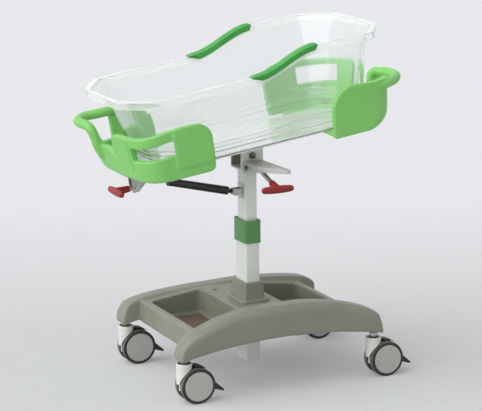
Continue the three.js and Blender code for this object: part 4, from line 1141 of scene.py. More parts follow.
def deck_piece():
    """The deck between the beams, with a sunk bay at each end and a hollow under the column."""
    foot, top = BEAM_FOOT - PANEL_DROP, DECK_TOP
    skirt, floor = PANEL_X - PANEL_SKIRT, foot + BAY_FLOOR
    under = foot + BAY_FLOOR - FLOOR_T

    def half(low):
        return [
            (DECK_HALF - BAY_FLOOR, foot + MIDDLE_RISE), (DECK_HALF, under), (skirt, under),
            (skirt + BAY_FLOOR, low), (PANEL_X, low), (PANEL_X, top - DECK_FALL), (DECK_HALF, top),
        ]

    profile = half(BEAM_FOOT - HEAD_DROP) + [(-x, z) for x, z in reversed(half(foot))]
    edge = BEAM_Y - BEAM_W / 2 + DECK_LAP
    deck = loft("deck", [[(COLUMN_X + x, y, z) for x, z in profile] for y in (-edge, edge)])
    half_y = BEAM_Y - BEAM_W / 2 - RIM_W
    outer = PANEL_X - RIM_W
    for low, high in ((-outer, -DECK_HALF), (DECK_HALF, outer)):
        bay = block("bay", (COLUMN_X + low, -half_y, floor), (COLUMN_X + high, half_y, top + BAY_OPEN))
        open_piece(bay)
        round_edges(BAY_CORNER_R, 5, upright)
        round_edges(BAY_FLOOR_R, 3, lambda place, along: place.z < floor + TINY)
        clear_selection()
        carve(deck, bay)
    for side in (-1, 1):
        chamfer, wall, beam = half_y - CHAMFER_IN, half_y + BAY_SIDE_T, edge + DECK_LAP
        low, high = foot - DECK_LAP, BEAM_FOOT + RIM_UNDER
        section = [
            (chamfer, low), (chamfer, under), (wall, under + BAY_FLOOR),
            (wall, high), (beam, high), (beam, low),
        ]
        ends = (COLUMN_X - skirt, COLUMN_X + skirt)
        carve(deck, loft("under_rim", [[(x, side * y, z) for y, z in section] for x in ends]))
    pocket = DECK_HALF - BAY_FLOOR
    hollow_low = (COLUMN_X - pocket, -half_y, foot - HOLLOW_OPEN)
    carve(deck, block("hollow", hollow_low, (COLUMN_X + pocket, half_y, top - DECK_T)))
    return deck


def base_piece():
    near, far = beam_piece(-1, NEAR_HEAD, NEAR_FOOT), beam_piece(1, FAR_HEAD, FAR_FOOT)
    base = join("base_moulding_smooth", deck_piece(), near, far)
    mould(base, BASE_VOXEL, 3)
    dress(base, "base", "base_grey", BASE_GREY, "base_moulding", sharp=60)
    half_y = BEAM_Y - BEAM_W / 2 - RIM_W - MAT_MARGIN
    floor = BEAM_FOOT - PANEL_DROP + BAY_FLOOR
    for end, name in ((-1, "foot_bay_mat"), (1, "head_bay_mat")):
        inner, outer = end * (DECK_HALF + MAT_MARGIN), end * (PANEL_X - RIM_W - MAT_MARGIN)
        low = (COLUMN_X + min(inner, outer), -half_y, floor - MAT_SUNK)
        mat = block(name, low, (COLUMN_X + max(inner, outer), half_y, floor + MAT_RISE))
        open_piece(mat)
        round_edges(MAT_CORNER_R, 5, upright)
        step_in(facing((0, 0, 1)), (MAT_EDGE, MAT_CROWN))
        clear_selection()
        dress(mat, "base", "base_grey", BAY_MAT)


def deck_screws():
    spots = [(x, y) for x in (-SCREW_X, SCREW_X) for y in (-SCREW_Y, SCREW_Y)]
    for number, (x, y) in enumerate(spots):
        place = Vector((COLUMN_X + x, y, DECK_TOP))
        low, high = place - Vector((0, 0, SCREW_SUNK)), place + Vector((0, 0, SCREW_RISE))
        screw = drum(f"deck_screw_{number}", SCREW_R, low, high, 24)
        open_piece(screw)
        step_in(facing((0, 0, 1)), (SCREW_RIM, 0), (SOCKET_EDGE, -SOCKET_DEPTH))
        clear_selection()
        soften(screw, PLATE_EDGE, 2)
        dress(screw, "base", "steel", DARK_STEEL)


# Column: painted tubes, foot cover and guide collar
def tube_piece(node, body):
    tube = block(f"{node}_smooth", *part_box(node))
    open_piece(tube)
    round_edges(TUBE_ROUND, 4, upright)
    step_in(facing((0, 0, 1), both=True), (TUBE_T, 0), (TUBE_END_EDGE, -TUBE_END_DEPTH), each=True)
    clear_selection()
    return dress(tube, body, "column_paint", COLUMN_PAINT, node)


def foot_cover_piece():
    """A tapered skirt round the tube's foot, with a seam under its top, on a broad plinth."""
    low, mid, top = DECK_Z, DECK_Z + PLINTH_H, COVER_TOP
    skirt = block(
        "column_foot_cover_smooth", (COLUMN_X - COVER_X / 2, -COVER_Y / 2, mid - COVER_SUNK),
        (COLUMN_X + COVER_X / 2, COVER_Y / 2, top),
    )
    open_piece(skirt)
    pick("FACE", facing((0, 0, 1)))
    shrink = (1 - 2 * COVER_TAPER / COVER_X, 1 - 2 * COVER_TAPER / COVER_Y, 1)
    bpy.ops.transform.resize(value=shrink, center_override=(COLUMN_X, 0, top))
    round_edges(COVER_CORNER_R, 4, upright)
    press_groove((COLUMN_X, 0, top - COVER_SEAM), (0, 0, 1), COVER_SEAM_HALF, COVER_SEAM_SHRINK)
    round_edges(COVER_TOP_R, 4, lambda place, along: place.z > top - TINY)
    plinth = block(
        "plinth", (COLUMN_X - PLINTH_X / 2, -PLINTH_Y / 2, low), (COLUMN_X + PLINTH_X / 2, PLINTH_Y / 2, mid),
    )
    open_piece(plinth)
    round_edges(PLINTH_CORNER_R, 6, upright)
    round_edges(PLINTH_TOP_R, 4, lambda place, along: place.z > mid - TINY)
    cover = join("column_foot_cover_smooth", skirt, plinth)
    dress(cover, "base", "base_grey", COVER_GREY, "column_foot_cover")


def collar_piece():
    low, high = COLLAR_LOW, COLLAR_HIGH
    collar = block("column_guide_collar_smooth", low, high)

    def end_edge(place, along):
        return abs(along.z) < ACROSS and (place.z > high.z - TINY or place.z < low.z + TINY)

    open_piece(collar)
    round_edges(COLLAR_ROUND, 5, upright)
    step_in(facing((0, 0, 1)), (COLLAR_RIM, 0), (COLLAR_EDGE, -COLLAR_RIM))
    round_edges(COLLAR_EDGE, 3, end_edge)
    for height in (low.z + COLLAR_GROOVE, high.z - COLLAR_GROOVE):
        press_groove((COLUMN_X, 0, height), (0, 0, 1), COLLAR_GROOVE_HALF, COLLAR_GROOVE_SHRINK)
    clear_selection()
    dress(collar, "base", "collar_green", COLLAR_GREEN, "column_guide_collar")


def column():
    tube_piece("column_outer_tube", "base")
    tube_piece("column_inner_tube", "upper_column")
    foot_cover_piece()
    collar_piece()
    dress_node("column_end_plate", "base", "column_paint", COLUMN_PAINT, FINE_EDGE)
    head = dress_node("column_head", "upper_column", "column_paint", COLUMN_PAINT, HEAD_EDGE)
    # The cheeks' inner faces take dark brown painted shade
    paint_faces(head, BRACKET_SHADE_BROWN, shaded_inside_cheek)
    dress_node("tilt_pivot_bolt", "upper_column", "steel", DARK_STEEL, HEAD_EDGE)
    dress_node("height_lever_pin", "upper_column", "steel", DARK_STEEL, PIN_EDGE)
    dress_node("strut_clevis", "upper_column", "steel", BARE_STEEL, FINE_EDGE)
    palm_plate_piece()


def shaded_inside_cheek(face):
    """The head's two cheeks take painted shade, a dark brown, on their inner faces."""
    return face.normal.y * face.center.y < 0 and abs(face.normal.y) > 0.9


def palm_plate_piece():
    """The folded plate over the height release, drawn in to a narrow tip."""
    node = "height_palm_plate"
    plate = rounded_node(node, PLATE_EDGE)
    low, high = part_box(node)
    tip_x = between(low.x, high.x, PALM_TIP_SHARE)
    for point in plate.data.vertices:
        reach = min(max((high.y - PALM_ROOT - point.co.y) / (high.y - PALM_ROOT - low.y), 0), 1)
        point.co.x = between(point.co.x, tip_x, PALM_TAPER * reach)
        point.co.z = high.z + (point.co.z - high.z) * between(PALM_DEEP, PALM_THIN, reach)
    dress(plate, "upper_column", "column_paint", PLATE_PAINT, node)


# Release levers with their red T handles
def scaled_end(piece, axis, scale):
    """Scales the end of a piece that faces along an axis."""
    open_piece(piece)
    pick("FACE", facing(axis))
    bpy.ops.transform.resize(value=scale)
    clear_selection()
    return piece


def tee_piece(name):
    """A T handle along X with its boss towards +Y, with its origin where the bar that it caps ends."""
    reach = T_BAR_L / 2 - T_BAR_R
    bar = pipe(name, [(-reach, 0, 0), (-reach / 3, 0, 0), (reach / 3, 0, 0), (reach, 0, 0)], T_BAR_R)
    ends = [
        begin("end", bpy.ops.mesh.primitive_uv_sphere_add, segments=32, ring_count=16, radius=T_BAR_R,
              location=(side * reach, 0, 0))
        for side in (-1, 1)
    ]
    boss = drum("boss", T_BOSS_R, (0, 0, 0), (0, T_BOSS_L, 0))
    scaled_end(boss, (0, 1, 0), T_BOSS_TAPER)
    shoulder = drum("shoulder", T_BAR_R, (0, 0, 0), (0, T_BAR_R * T_SHOULDER_L, 0))
    scaled_end(shoulder, (0, -1, 0), T_SHOULDER_SPREAD)
    bar = join("bar", bar, *ends)
    for point in bar.data.vertices:
        swell = 1 - (2 * point.co.x / T_BAR_L) ** 2
        point.co.z *= 1 + T_SWELL * swell
    handle = join(name, bar, boss, shoulder)
    mould(handle, T_VOXEL, 8)
    return settle(handle, (0, -T_BACK, 0))


def levers():
    lever_pin = middle("height_lever_pin")
    height_spot = Vector((COLUMN_X, lever_pin.y - LEVER_RUN, lever_pin.z - LEVER_FALL))
    for kind in ("height", "tilt"):
        dress_node(f"{kind}_release_lever", f"{kind}_lever", "steel", BARE_STEEL, FINE_EDGE)
    for kind, spot, turn in (
        ("height", height_spot, (LEVER_SLOPE, 0, 0)), ("tilt", TILT_HANDLE_SPOT, (0, 0, -math.pi / 2)),
    ):
        handle = settle(tee_piece(f"{kind}_release_handle_smooth"), spot, turn)
        if kind == "tilt":
            onto_cradle(handle)
        dress(handle, f"{kind}_lever", "handle_red", HANDLE_RED, f"{kind}_release_handle", sharp=60)


# Tilt strut, its pins and hanger
def round_pin(node, body):
    """A turned pin along Y with broken ends, in place of a node's plain pin."""
    low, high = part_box(node)
    spot = (low + high) / 2
    radius = (high.z - low.z) / 2
    pin = drum(f"{node}_smooth", radius, (spot.x, low.y, spot.z), (spot.x, high.y, spot.z), 32)
    open_piece(pin)
    step_in(facing((0, 1, 0), both=True), (radius * PIN_RIM, -PIN_DISH), each=True)
    clear_selection()
    soften(pin, FINE_EDGE, 2)
    dress(pin, body, "steel", BARE_STEEL, node)


def strut_eye(x):
    eye = drum("eye", STRUT_EYE_R, (x, -STRUT_EYE_W / 2, 0), (x, STRUT_EYE_W / 2, 0))
    return soften(eye, TURNED_EDGE, 3)


def strut():
    run = STRUT_HIGH - STRUT_LOW
    length = run.length
    turn = (0, -math.atan2(run.z, run.x), 0)
    neck = drum("neck", STRUT_NECK_R, (0, 0, 0), (3 * STRUT_EYE_R, 0, 0))
    body = drum("strut_barrel_smooth", STRUT_R, (2 * STRUT_EYE_R, 0, 0), (STRUT_L, 0, 0), 56)
    open_piece(body)
    press_groove((STRUT_L - STRUT_GROOVE, 0, 0), (1, 0, 0), STRUT_GROOVE_HALF, STRUT_GROOVE_SHRINK)
    step_in(facing((1, 0, 0)), (STRUT_MOUTH_RIM, -STRUT_MOUTH_DEPTH))
    clear_selection()
    soften(body, BOLD_EDGE, 3, 40)
    barrel = join("strut_barrel_smooth", body, strut_eye(0), neck)
    dress(settle(barrel, STRUT_LOW, turn), "strut_barrel", "strut_black", STRUT_BLACK, "strut_barrel")
    rod = drum("strut_rod_smooth", STRUT_ROD_R, (length - STRUT_ROD_L, 0, 0), (length, 0, 0), 32)
    rod = join("strut_rod_smooth", soften(rod, TURNED_EDGE, 2), strut_eye(length))
    dress(settle(rod, STRUT_LOW, turn), "strut_rod", "steel", BARE_STEEL, "strut_rod")
    dress_node("strut_hanger", "cradle", "steel", BARE_STEEL, FINE_EDGE)
    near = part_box("strut_clevis")[0].y
    nut_ends = [STRUT_LOW + Vector((0, y, 0)) for y in (near - NUT_T, near)]
    nut = drum("strut_eye_nut", NUT_R, *nut_ends, 32)
    open_piece(nut)
    step_in(facing((0, -1, 0)), (NUT_R * NUT_RIM, 0), (NUT_R * NUT_CONE, NUT_T * NUT_RISE))
    clear_selection()
    dress(soften(nut, FINE_EDGE, 2), "upper_column", "steel", BARE_STEEL)
    round_pin("strut_lower_pin", "upper_column")
    round_pin("strut_upper_pin", "cradle")
    round_pin("tilt_lever_pin", "cradle")


# Bumpers: a wall bent round the end of the tub, thickened, with a floor and a looped handle moulded on
@dataclass
class BumperShape:
    ear_gap: float
    bar_droop: float
    ear: tuple
    web: tuple
    gap_low: float
    plain_tuck: float
    plain_lean: float
    plain_share: float
    wing_tip: float
    window_tip: float
    window_low: float
    window_top: float
    wing_rise: float
    rail_dip: float


# Centre lines of the looped handles, from the wing's top round the corner and down the leg.
# Each point: out from the end wall, across, up
HEAD_EAR = (
    (-0.1024, -0.1924, 0.149), (-0.050, -0.192, 0.149), (-0.018, -0.186, 0.150), (0.024, -0.152, 0.151),
    (0.038, -0.098, 0.151), (0.028, -0.058, 0.151), (0.009, -0.042, 0.149), (0.001, -0.040, 0.120),
    (0, -0.040, 0.094),
)
HEAD_WEB = ((0.036, -0.085, 0.132), (0.026, -0.054, 0.126), (0.004, -0.042, 0.122), (-0.016, -0.042, 0.108))
FOOT_EAR = (
    (-0.1024, -0.1924, 0.165), (-0.043, -0.1924, 0.165), (0.002, -0.1924, 0.165), (0.030, -0.1604, 0.165),
    (0.034, -0.1312, 0.165), (0.027, -0.084, 0.158), (0.020, -0.074, 0.132), (0.015, -0.072, 0.104),
    (0.003, -0.070, 0.074),
)
FOOT_WEB = ((0.014, -0.072, 0.120), (0.002, -0.069, 0.098), (-0.010, -0.062, 0.080))
HEAD_BUMPER = BumperShape(
    ear_gap=BUMPER_END - 0.028, bar_droop=0.016, ear=HEAD_EAR, web=HEAD_WEB, gap_low=NOTCH_LOW,
    plain_tuck=0.044, plain_lean=0.008, plain_share=0.73, wing_tip=BUMPER_END - 0.226,
    window_tip=BUMPER_END - 0.114, window_low=0.104, window_top=0.154, wing_rise=0.009, rail_dip=0.004,
)
FOOT_BUMPER = BumperShape(
    ear_gap=BUMPER_END - 0.075, bar_droop=0.0, ear=FOOT_EAR, web=FOOT_WEB, gap_low=0.084,
    plain_tuck=0.020, plain_lean=0.001, plain_share=0.80, wing_tip=BUMPER_END - 0.213,
    window_tip=BUMPER_END - 0.098, window_low=0.101, window_top=0.142, wing_rise=0.0, rail_dip=0.013,
)


def bumper_stations(shape):
    """Plan of the outer face, from the plain wing's tip round the end to the windowed wing's tip."""
    side, end, corner = BUMPER_SIDE, BUMPER_END, BUMPER_CORNER
    panel_end = shape.window_tip - PANEL_STEP
    post = [NOTCH_POST + POST_R * share for share in POST_SHARES]
    flat = [(end, y) for y in (BUMPER_END_FLAT, -NOTCH_LEG, *post, NOTCH_POST, NOTCH_POST / 2, 0)]

    def half(tip, pull, share):
        wing = [(between(tip, panel_end, place), side) for place in WING_SHARES]
        wing += [(panel_end, side), (shape.window_tip, side), ((shape.window_tip + corner) / 2, side)]
        leave, arrive = (corner + pull, side), (end - END_LEAN, side * share)
        bend = cubic((corner, side), leave, arrive, (end, BUMPER_END_FLAT), 16)
        return wing + [tuple(point) for point in bend] + flat

    plain = [(x, -y) for x, y in half(PLAIN_WING_TIP, PLAIN_PULL, shape.plain_share)]
    return plain + half(shape.wing_tip, WINDOW_PULL, WINDOW_SHARE)[-2::-1]


def bumper_heights(shape):
    return sorted([
        *BUMPER_ROWS, BUMPER_LOW, PANEL_LOW, PANEL_LOW + PANEL_STEP, NOTCH_LOW, BUMPER_TOP,
        shape.window_low, shape.window_top,
    ])


def tip_limits(shape, x, y):
    """Lowest and highest point of the wall, with the rounded corners at a wing's tip and at the notch."""
    top, low = BUMPER_TOP, BUMPER_LOW
    tip, tip_r, low_r = PLAIN_WING_TIP, PLAIN_WING_R, PLAIN_LOW_R
    if y > 0:
        tip, tip_r, low_r = shape.wing_tip, WINDOW_WING_R, WINDOW_LOW_R
        on_rail = smoothstep(shape.window_tip - EAR_TURN, BUMPER_END - END_LEAN, x)
        top += between(shape.wing_rise, -shape.rail_dip, on_rail)
    else:
        top -= shape.bar_droop / 3 * smoothstep(BUMPER_CORNER - 2 * EAR_TURN, BUMPER_CORNER, x)
    reach = x - tip
    if reach < tip_r:
        top += math.sqrt(tip_r**2 - (tip_r - reach) ** 2) - tip_r
    if reach < low_r:
        low += low_r - math.sqrt(low_r**2 - (low_r - reach) ** 2)
    past = y - NOTCH_POST
    if x > BUMPER_END - END_LEAN and 0 <= past < POST_R:
        top += math.sqrt(POST_R**2 - (POST_R - past) ** 2) - POST_R
    return low, top


def flared(shape, x, y, z):
    """Leans the end wall out towards its top and rounds its foot in, most at the plain corner."""
    rise = (z - BUMPER_LOW) / (BUMPER_TOP - BUMPER_LOW)
    on_end = smoothstep(BUMPER_CORNER - CORNER_SOFT, BUMPER_CORNER + CORNER_SOFT, x)
    plain = 1 - smoothstep(-BUMPER_SIDE, -BUMPER_END_FLAT, y)
    radius = between(END_TUCK_R, shape.plain_tuck, plain)
    below = min(max(BUMPER_LOW + radius - z, 0), radius)
    tuck = radius - math.sqrt(radius**2 - below**2)
    lean = BUMPER_FLARE * rise * smoothstep(BUMPER_CORNER - BUMPER_WALL, BUMPER_END, x)
    lean -= shape.plain_lean * (1 - rise) * plain * on_end
    if y < 0:
        lean -= PLAIN_TIP_LEAN * (1 - rise) * (1 - smoothstep(PLAIN_WING_TIP, BUMPER_CORNER, x))
    return Vector((x + lean - tuck * on_end, y, z))


def bumper_wall(name, shape):
    stations, heights = bumper_stations(shape), bumper_heights(shape)
    wall = sheet(name, list(range(len(stations))), heights)

    def is_open(place):
        column = int(place.x)
        (x0, y0), (x1, y1) = stations[column], stations[column + 1]
        x, y = (x0 + x1) / 2, (y0 + y1) / 2
        window = x > shape.window_tip and y > WINDOW_IN_Y and shape.window_low < place.y < shape.window_top
        notch = x > BUMPER_END - END_LEAN and NOTCH_LEG < y < NOTCH_POST and place.y > NOTCH_LOW
        ear_gap = x > shape.ear_gap and y < NOTCH_LEG and place.y > shape.gap_low
        return window or notch or ear_gap

    open_piece(wall)
    pick("FACE", lambda place, normal: is_open(place))
    bpy.ops.mesh.delete(type="FACE")
    clear_selection()
    for point in wall.data.vertices:
        x, y = stations[round(point.co.x)]
        low, top = tip_limits(shape, x, y)
        share = (point.co.y - BUMPER_LOW) / (BUMPER_TOP - BUMPER_LOW)
        raised = y > 0 and x < shape.window_tip - TINY and point.co.y > PANEL_LOW + TINY
        point.co = flared(shape, x, y + (PANEL_RAISE if raised else 0), between(low, top, share))
    make_outward(wall)
    return wall


def ear_piece(shape):
    """The looped handle: along the wing's top, round the corner and down a deep leg into the end wall."""
    bar = pipe("ear", [(BUMPER_END + out, y, z) for out, y, z in shape.ear], EAR_BAR_R)
    web = pipe("ear_web", [(BUMPER_END + out, y, z) for out, y, z in shape.web], EAR_WEB_R)
    return join("ear", bar, web)


def press_crease(piece):
    """Presses a groove into the outer face where the windowed side meets the end."""
    pressed = []
    for point in piece.data.vertices:
        near = 1 - abs(point.co.y - CREASE_Y) / CREASE_HALF
        if near > 0 and point.normal.x > CREASE_FACING and CREASE_LOW < point.co.z < CREASE_TOP:
            pressed.append((point, point.normal * CREASE_DEPTH * near))
    for point, step in pressed:
        point.co -= step


def bumper_piece(name, shape):
    wall = bumper_wall("bumper_wall", shape)
    apply(wall, "SOLIDIFY", thickness=BUMPER_WALL, offset=-1.0, use_even_offset=True)
    apply(wall, "SUBSURF", subdivision_type="SIMPLE", levels=1, render_levels=1)
    inner = [point for point in bumper_stations(shape) if point[0] > BUMPER_FLOOR_TIP]
    plan = []
    for x, y in [(BUMPER_FLOOR_TIP, -BUMPER_SIDE), *inner, (BUMPER_FLOOR_TIP, BUMPER_SIDE)]:
        tuck = END_TUCK_R if x > BUMPER_CORNER else 0
        plan.append((flared(shape, x, y, BUMPER_LOW).x - tuck, y * FLOOR_IN))
    levels = (BUMPER_LOW + BUMPER_FLOOR_LIFT, BUMPER_FLOOR_TOP)
    floor = loft("floor", [[(x, y, z) for x, y in plan] for z in levels])
    bumper = mould(join(name, wall, floor, ear_piece(shape)), BUMPER_VOXEL, 5)
    press_crease(bumper)
    return bumper


def bumpers():
    head = bumper_piece("bumper_head_smooth", HEAD_BUMPER)
    foot = bumper_piece("bumper_foot_smooth", FOOT_BUMPER)
    settle(foot, (0, 0, 0), (0, 0, math.pi))
    for piece, node in ((head, "bumper_head"), (foot, "bumper_foot")):
        dress(onto_cradle(piece), "cradle", "bumper_green", BUMPER_GREEN, node, sharp=60)


# Tub: one clear sheet drawn into an eight-sided tray with a turned-down lip
def rim_rise(x):
    return between(RIM_LOW, RIM_HIGH, smoothstep(RAMP_FOOT, RAMP_HEAD, x))


def tub_plan(foot, head, half_y, end_flat, grow):
    """An eight-sided plan with rounded corners, and with close points along the rim's ramp."""
    a, b, y = foot - grow, head + grow, half_y + grow
    e = end_flat + grow * END_FLAT / RIM_Y
    left, right = a + CHAMFER_X, b - CHAMFER_X
    turns = [(a, -e), (left, -y), (right, -y), (b, -e), (b, e), (right, y), (left, y), (a, e)]
    corners = [Vector(turn) for turn in turns]
    ramp = [between(RAMP_FOOT, RAMP_HEAD, step / RAMP_STEPS) for step in range(RAMP_STEPS + 1)]
    points = []
    for i, corner in enumerate(corners):
        before = corner + (corners[i - 1] - corner).normalized() * TUB_CORNER_R
        after = corner + (corners[(i + 1) % 8] - corner).normalized() * TUB_CORNER_R
        for step in range(TUB_CORNER_STEPS + 1):
            t = step / TUB_CORNER_STEPS
            points.append(before * (1 - t) ** 2 + corner * 2 * t * (1 - t) + after * t * t)
        if i == 1:
            points += [Vector((x, -y)) for x in ramp]
        if i == 5:
            points += [Vector((x, y)) for x in reversed(ramp)]
    return points


def floor_ring(grow, height):
    plan = tub_plan(TUB_FLOOR_FOOT, TUB_FLOOR_HEAD, TUB_FLOOR_Y, FLOOR_END_FLAT, grow)
    return [Vector((p.x, p.y, height)) for p in plan]


def neck_ring(grow, drop):
    foot, head, side = RIM_FOOT + RIM_FLARE_FOOT, RIM_HEAD - RIM_FLARE_HEAD, RIM_Y - RIM_FLARE_SIDE
    plan = tub_plan(foot, head, side, END_FLAT - RIM_FLARE_SIDE, grow)
    return [Vector((p.x, p.y, rim_rise(p.x) - drop)) for p in plan]


def rim_ring(grow, drop):
    plan = tub_plan(RIM_FOOT, RIM_HEAD, RIM_Y, END_FLAT, grow)
    return [Vector((p.x, p.y, rim_rise(p.x) - drop)) for p in plan]


def blended(first, second, share):
    return [a.lerp(b, share) for a, b in zip(first, second)]


def tub_wall(inset, floor_height):
    """A wall face, inset from the outer one, from the floor's round up its side and out over the flare."""
    edge = TUB_FLOOR_EDGE
    rounds = [
        floor_ring(-inset - edge * (1 - math.sin(turn)), floor_height + edge * (1 - math.cos(turn)))
        for turn in FLOOR_TURNS
    ]
    foot, neck = floor_ring(-inset, floor_height + edge), neck_ring(-inset, RIM_FLARE_DOWN - inset / 2)
    straight = []
    for share in RIB_SHARES:
        for step, out in RIB_SECTION:
            low, high = floor_ring(out - inset, floor_height + edge), neck_ring(out - inset, RIM_FLARE_DOWN)
            straight.append(blended(low, high, share + step))
    straight += [blended(foot, neck, share) for share in WALL_SHARES]
    top = rim_ring(-inset, FLARE_UNDER)
    start = straight[-1]
    flare = []
    for share in FLARE_SHARES:
        flare.append(blended(blended(start, neck, share), blended(neck, top, share), share))
    return [floor_ring(-inset - edge - TUB_FLOOR_RING, floor_height), *rounds, foot, *straight, *flare]


def tub_piece():
    """Outer face up to the lip, over the lip and down the inner face."""
    under, crown, arc = LIP_OUT - TUB_WALL, LIP_ROUND, LIP_ROUND * LIP_ARC
    section = [
        (LIP_START, LIP_UNDER), (under - LIP_TURN, TUB_WALL), (under, TUB_WALL + LIP_TURN),
        (under, LIP_DOWN - LIP_TURN), (under + LIP_TURN, LIP_DOWN), (LIP_OUT - LIP_TURN, LIP_DOWN),
        (LIP_OUT, LIP_DOWN - LIP_TURN), (LIP_OUT, crown), (LIP_OUT - arc, arc), (LIP_OUT - crown, 0),
        (0, 0), (crown - TUB_WALL, 0), (arc - TUB_WALL, arc),
    ]
    lip = [rim_ring(grow, drop) for grow, drop in section]
    inner = tub_wall(TUB_WALL, TUB_FLOOR + TUB_WALL)
    tub = loft("tub_clear", [*tub_wall(0, TUB_FLOOR), *lip, *reversed(inner)])
    lip_plan = [point.xy for point in rim_ring(-TUB_WALL / 2, 0)]

    def on_lip(place):
        sides = zip(lip_plan, lip_plan[1:] + lip_plan[:1])
        outside = any((b - a).cross(place.xy - a) < 0 for a, b in sides)
        return outside and place.z > rim_rise(place.x) - LIP_DOWN - TINY

    lip_faces = {face.index for face in tub.data.polygons if on_lip(face.center)}
    top_faces = {number for number in lip_faces if tub.data.polygons[number].normal.z > LIP_TOP_LEAN}
    dress(onto_cradle(tub), "tub", "tub_clear", CLEAR, "tub", sharp=40)
    # The lip band is paler, partly from haze and partly from the painted light of its faint glow; the lip's
    # top faces take a painted highlight
    paint_faces(tub, CLEAR_LIP, lambda face: face.index in lip_faces)
    paint_faces(tub, EDGE_HIGHLIGHT_ACRYLIC, lambda face: face.index in top_faces)


def grip_section(u, side):
    """A crown over the lip with a ridged skirt down each face, shorter towards the slanted ends."""
    depth = GRIP_SKIRT * min(1, (u - GRIP_FOOT) / GRIP_FOOT_SLANT, (GRIP_HEAD - u) / GRIP_HEAD_SLANT)
    from_foot, from_head = u - GRIP_FOOT + GRIP_END_LEFT, GRIP_HEAD - u + GRIP_END_LEFT
    ends = math.sqrt(min(1, from_foot / GRIP_FOOT_ROUND, from_head / GRIP_HEAD_ROUND))
    rim = rim_rise(u)
    lean = RIM_FLARE_SIDE / RIM_FLARE_DOWN
    outer_face, inner_face = RIM_Y + LIP_OUT + GRIP_SEAT, RIM_Y - TUB_WALL - GRIP_SEAT
    outer, inner = outer_face + GRIP_LAP, inner_face - GRIP_LAP
    low = rim - depth
    turn = depth * lean
    skirt = []
    for step in range(GRIP_SKIRT_STEPS + 1):
        share = step / GRIP_SKIRT_STEPS
        ridge = GRIP_RIDGE * ends * math.cos(share * GRIP_RIDGES * 2 * math.pi)
        skirt.append((between(low, rim + GRIP_CROWN / 3, share), ridge, turn * (1 - share)))
    section = [(inner_face, rim + GRIP_SEAT), (outer_face, rim + GRIP_SEAT), (outer_face, low)]
    section += [(outer + ridge, z) for z, ridge, slope in skirt]
    for share in GRIP_CROWN_SHARES:
        crown = 1 - abs(2 * share - 1) ** 4
        section.append((between(outer, inner, share), rim + GRIP_CROWN / 3 + GRIP_CROWN * crown * ends))
    section += [(inner - ridge - slope, z) for z, ridge, slope in reversed(skirt)]
    section.append((inner_face - turn, low))
    return [Vector((u, side * y, z)) for y, z in section]


def grip_piece(name, side):
    """A ridged strip that wraps the lip along its ramp, with slanted ends."""
    shares = [station / GRIP_STATIONS for station in range(GRIP_STATIONS + 1)]
    places = [between(GRIP_FOOT, GRIP_HEAD, share) for share in shares]
    grip = loft(name, [grip_section(u, side) for u in places])
    node = "rim_grip_front" if side < 0 else "rim_grip_back"
    dress(onto_cradle(grip), "tub", "grip_green", GRIP_GREEN, node, sharp=50)


def cradle():
    dress_node("cradle_plate", "cradle", "column_paint", COLUMN_PAINT, PLATE_EDGE)
    # The pivot bracket inside the head's channel takes dark brown painted shade
    dress_node("cradle_pivot_bracket", "cradle", "column_paint", BRACKET_SHADE_BROWN, PLATE_EDGE)


def inner_nodes():
    """What lies inside keeps its solid and takes a finish."""
    finishes = {
        "chassis_plate": BARE_STEEL, "lift_spring_cylinder": STRUT_BLACK, "column_guide_shoe": NYLON,
        "lift_spring_rod": BARE_STEEL, **{f"caster_axle_{tag}": BARE_STEEL for tag in TAGS},
    }
    for node, material in finishes.items():
        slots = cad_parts[node].data.materials
        slots.clear()
        slots.append(material)


# Stage: pale floor, soft light and the photograph's camera
IMAGE_WIDTH = 482
FOCAL_PIXELS = 2201.8
SENSOR = 36.0
CAMERA_PLACE = Vector((COLUMN_X - 2.5648, -5.5040, 1.8530))
CAMERA_AZIMUTH = math.radians(-24.82)
CAMERA_ELEVATION = math.radians(12.72)
CAMERA_ROLL = math.radians(-0.47)
FILL_LIGHT = 0.42
NEAR_GLOW = colour(123, 124, 125)
FAR_GLOW = colour(158, 158, 161)
PALER_FROM = (0.4, 2.2)
FLOOR_SIZE = 60
LAMPS = (("key", (-0.76, -0.08, 0.64), 2.7, 80), ("front", (0.25, -0.80, 0.55), 0.25, 80))


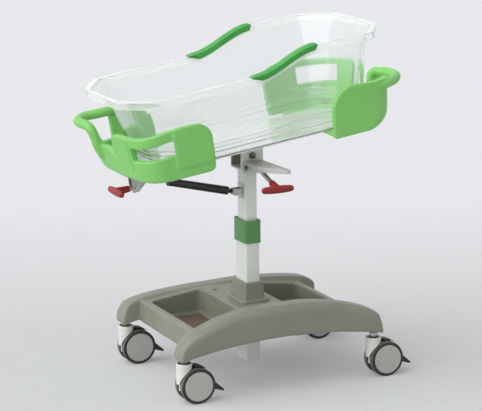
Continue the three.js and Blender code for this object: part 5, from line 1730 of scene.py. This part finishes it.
def stage():
    floor = begin("studio_floor", bpy.ops.mesh.primitive_plane_add, size=FLOOR_SIZE)
    material, tree, shader = new_material("studio_floor_paper")
    texture = place_group(tree, GRAIN, Scale=300.0)
    tree.links.new(
        mix_colour(tree, texture.outputs["Broad"], colour(182, 183, 184), colour(184, 185, 186)),
        shader.inputs["Base Color"],
    )
    place = add(tree, "ShaderNodeTexCoord")
    away = add(tree, "ShaderNodeVectorMath", operation="DOT_PRODUCT")
    away.inputs[1].default_value = (-math.sin(CAMERA_AZIMUTH), math.cos(CAMERA_AZIMUTH), 0)
    tree.links.new(place.outputs["Object"], away.inputs[0])
    paler = ranged(tree, away.outputs["Value"], *PALER_FROM)
    tree.links.new(mix_colour(tree, paler, NEAR_GLOW, FAR_GLOW), shader.inputs["Emission Color"])
    shader.inputs["Emission Strength"].default_value = 1
    shader.inputs["Roughness"].default_value = 0.9
    shader.inputs["Specular IOR Level"].default_value = 0.1
    floor.data.materials.append(material)
    world = bpy.data.worlds.new("studio")
    world.use_nodes = True
    bpy.context.scene.world = world
    tree = world.node_tree
    backdrop = tree.nodes["Background"]
    backdrop.inputs["Color"].default_value = colour(238, 238, 241)
    path = add(tree, "ShaderNodeLightPath")
    mirrored = calculate(tree, "MAXIMUM", path.outputs["Is Glossy Ray"], path.outputs["Is Transmission Ray"])
    seen = calculate(tree, "MAXIMUM", path.outputs["Is Camera Ray"], mirrored)
    tree.links.new(ranged(tree, seen, 0.0, 1.0, FILL_LIGHT, 1.0), backdrop.inputs["Strength"])
    for name, towards, strength, angle in LAMPS:
        lamp = bpy.data.lights.new(name, "SUN")
        lamp.energy = strength
        lamp.angle = math.radians(angle)
        holder = bpy.data.objects.new(name, lamp)
        holder.rotation_euler = Vector(towards).to_track_quat("Z", "Y").to_euler()
        bpy.context.scene.collection.objects.link(holder)


def camera():
    lens = bpy.data.cameras.new("photograph_view")
    lens.sensor_fit = "HORIZONTAL"
    lens.sensor_width = SENSOR
    lens.lens = FOCAL_PIXELS / IMAGE_WIDTH * SENSOR
    lens.clip_end = 100
    holder = bpy.data.objects.new("photograph_view", lens)
    flat = math.cos(CAMERA_ELEVATION)
    forward = Vector((
        -math.sin(CAMERA_AZIMUTH) * flat, math.cos(CAMERA_AZIMUTH) * flat, -math.sin(CAMERA_ELEVATION),
    ))
    turn = forward.to_track_quat("-Z", "Y") @ Quaternion((0, 0, 1), CAMERA_ROLL)
    holder.location = CAMERA_PLACE
    holder.rotation_euler = turn.to_euler()
    bpy.context.scene.collection.objects.link(holder)
    bpy.context.scene.camera = holder


bpy.context.scene.view_settings.view_transform = "Standard"
camera()
stage()
casters()
base_piece()
deck_screws()
column()
levers()
strut()
cradle()
bumpers()
tub_piece()
grip_piece("rim_grip_front_smooth", -1)
grip_piece("rim_grip_back_smooth", 1)
inner_nodes()
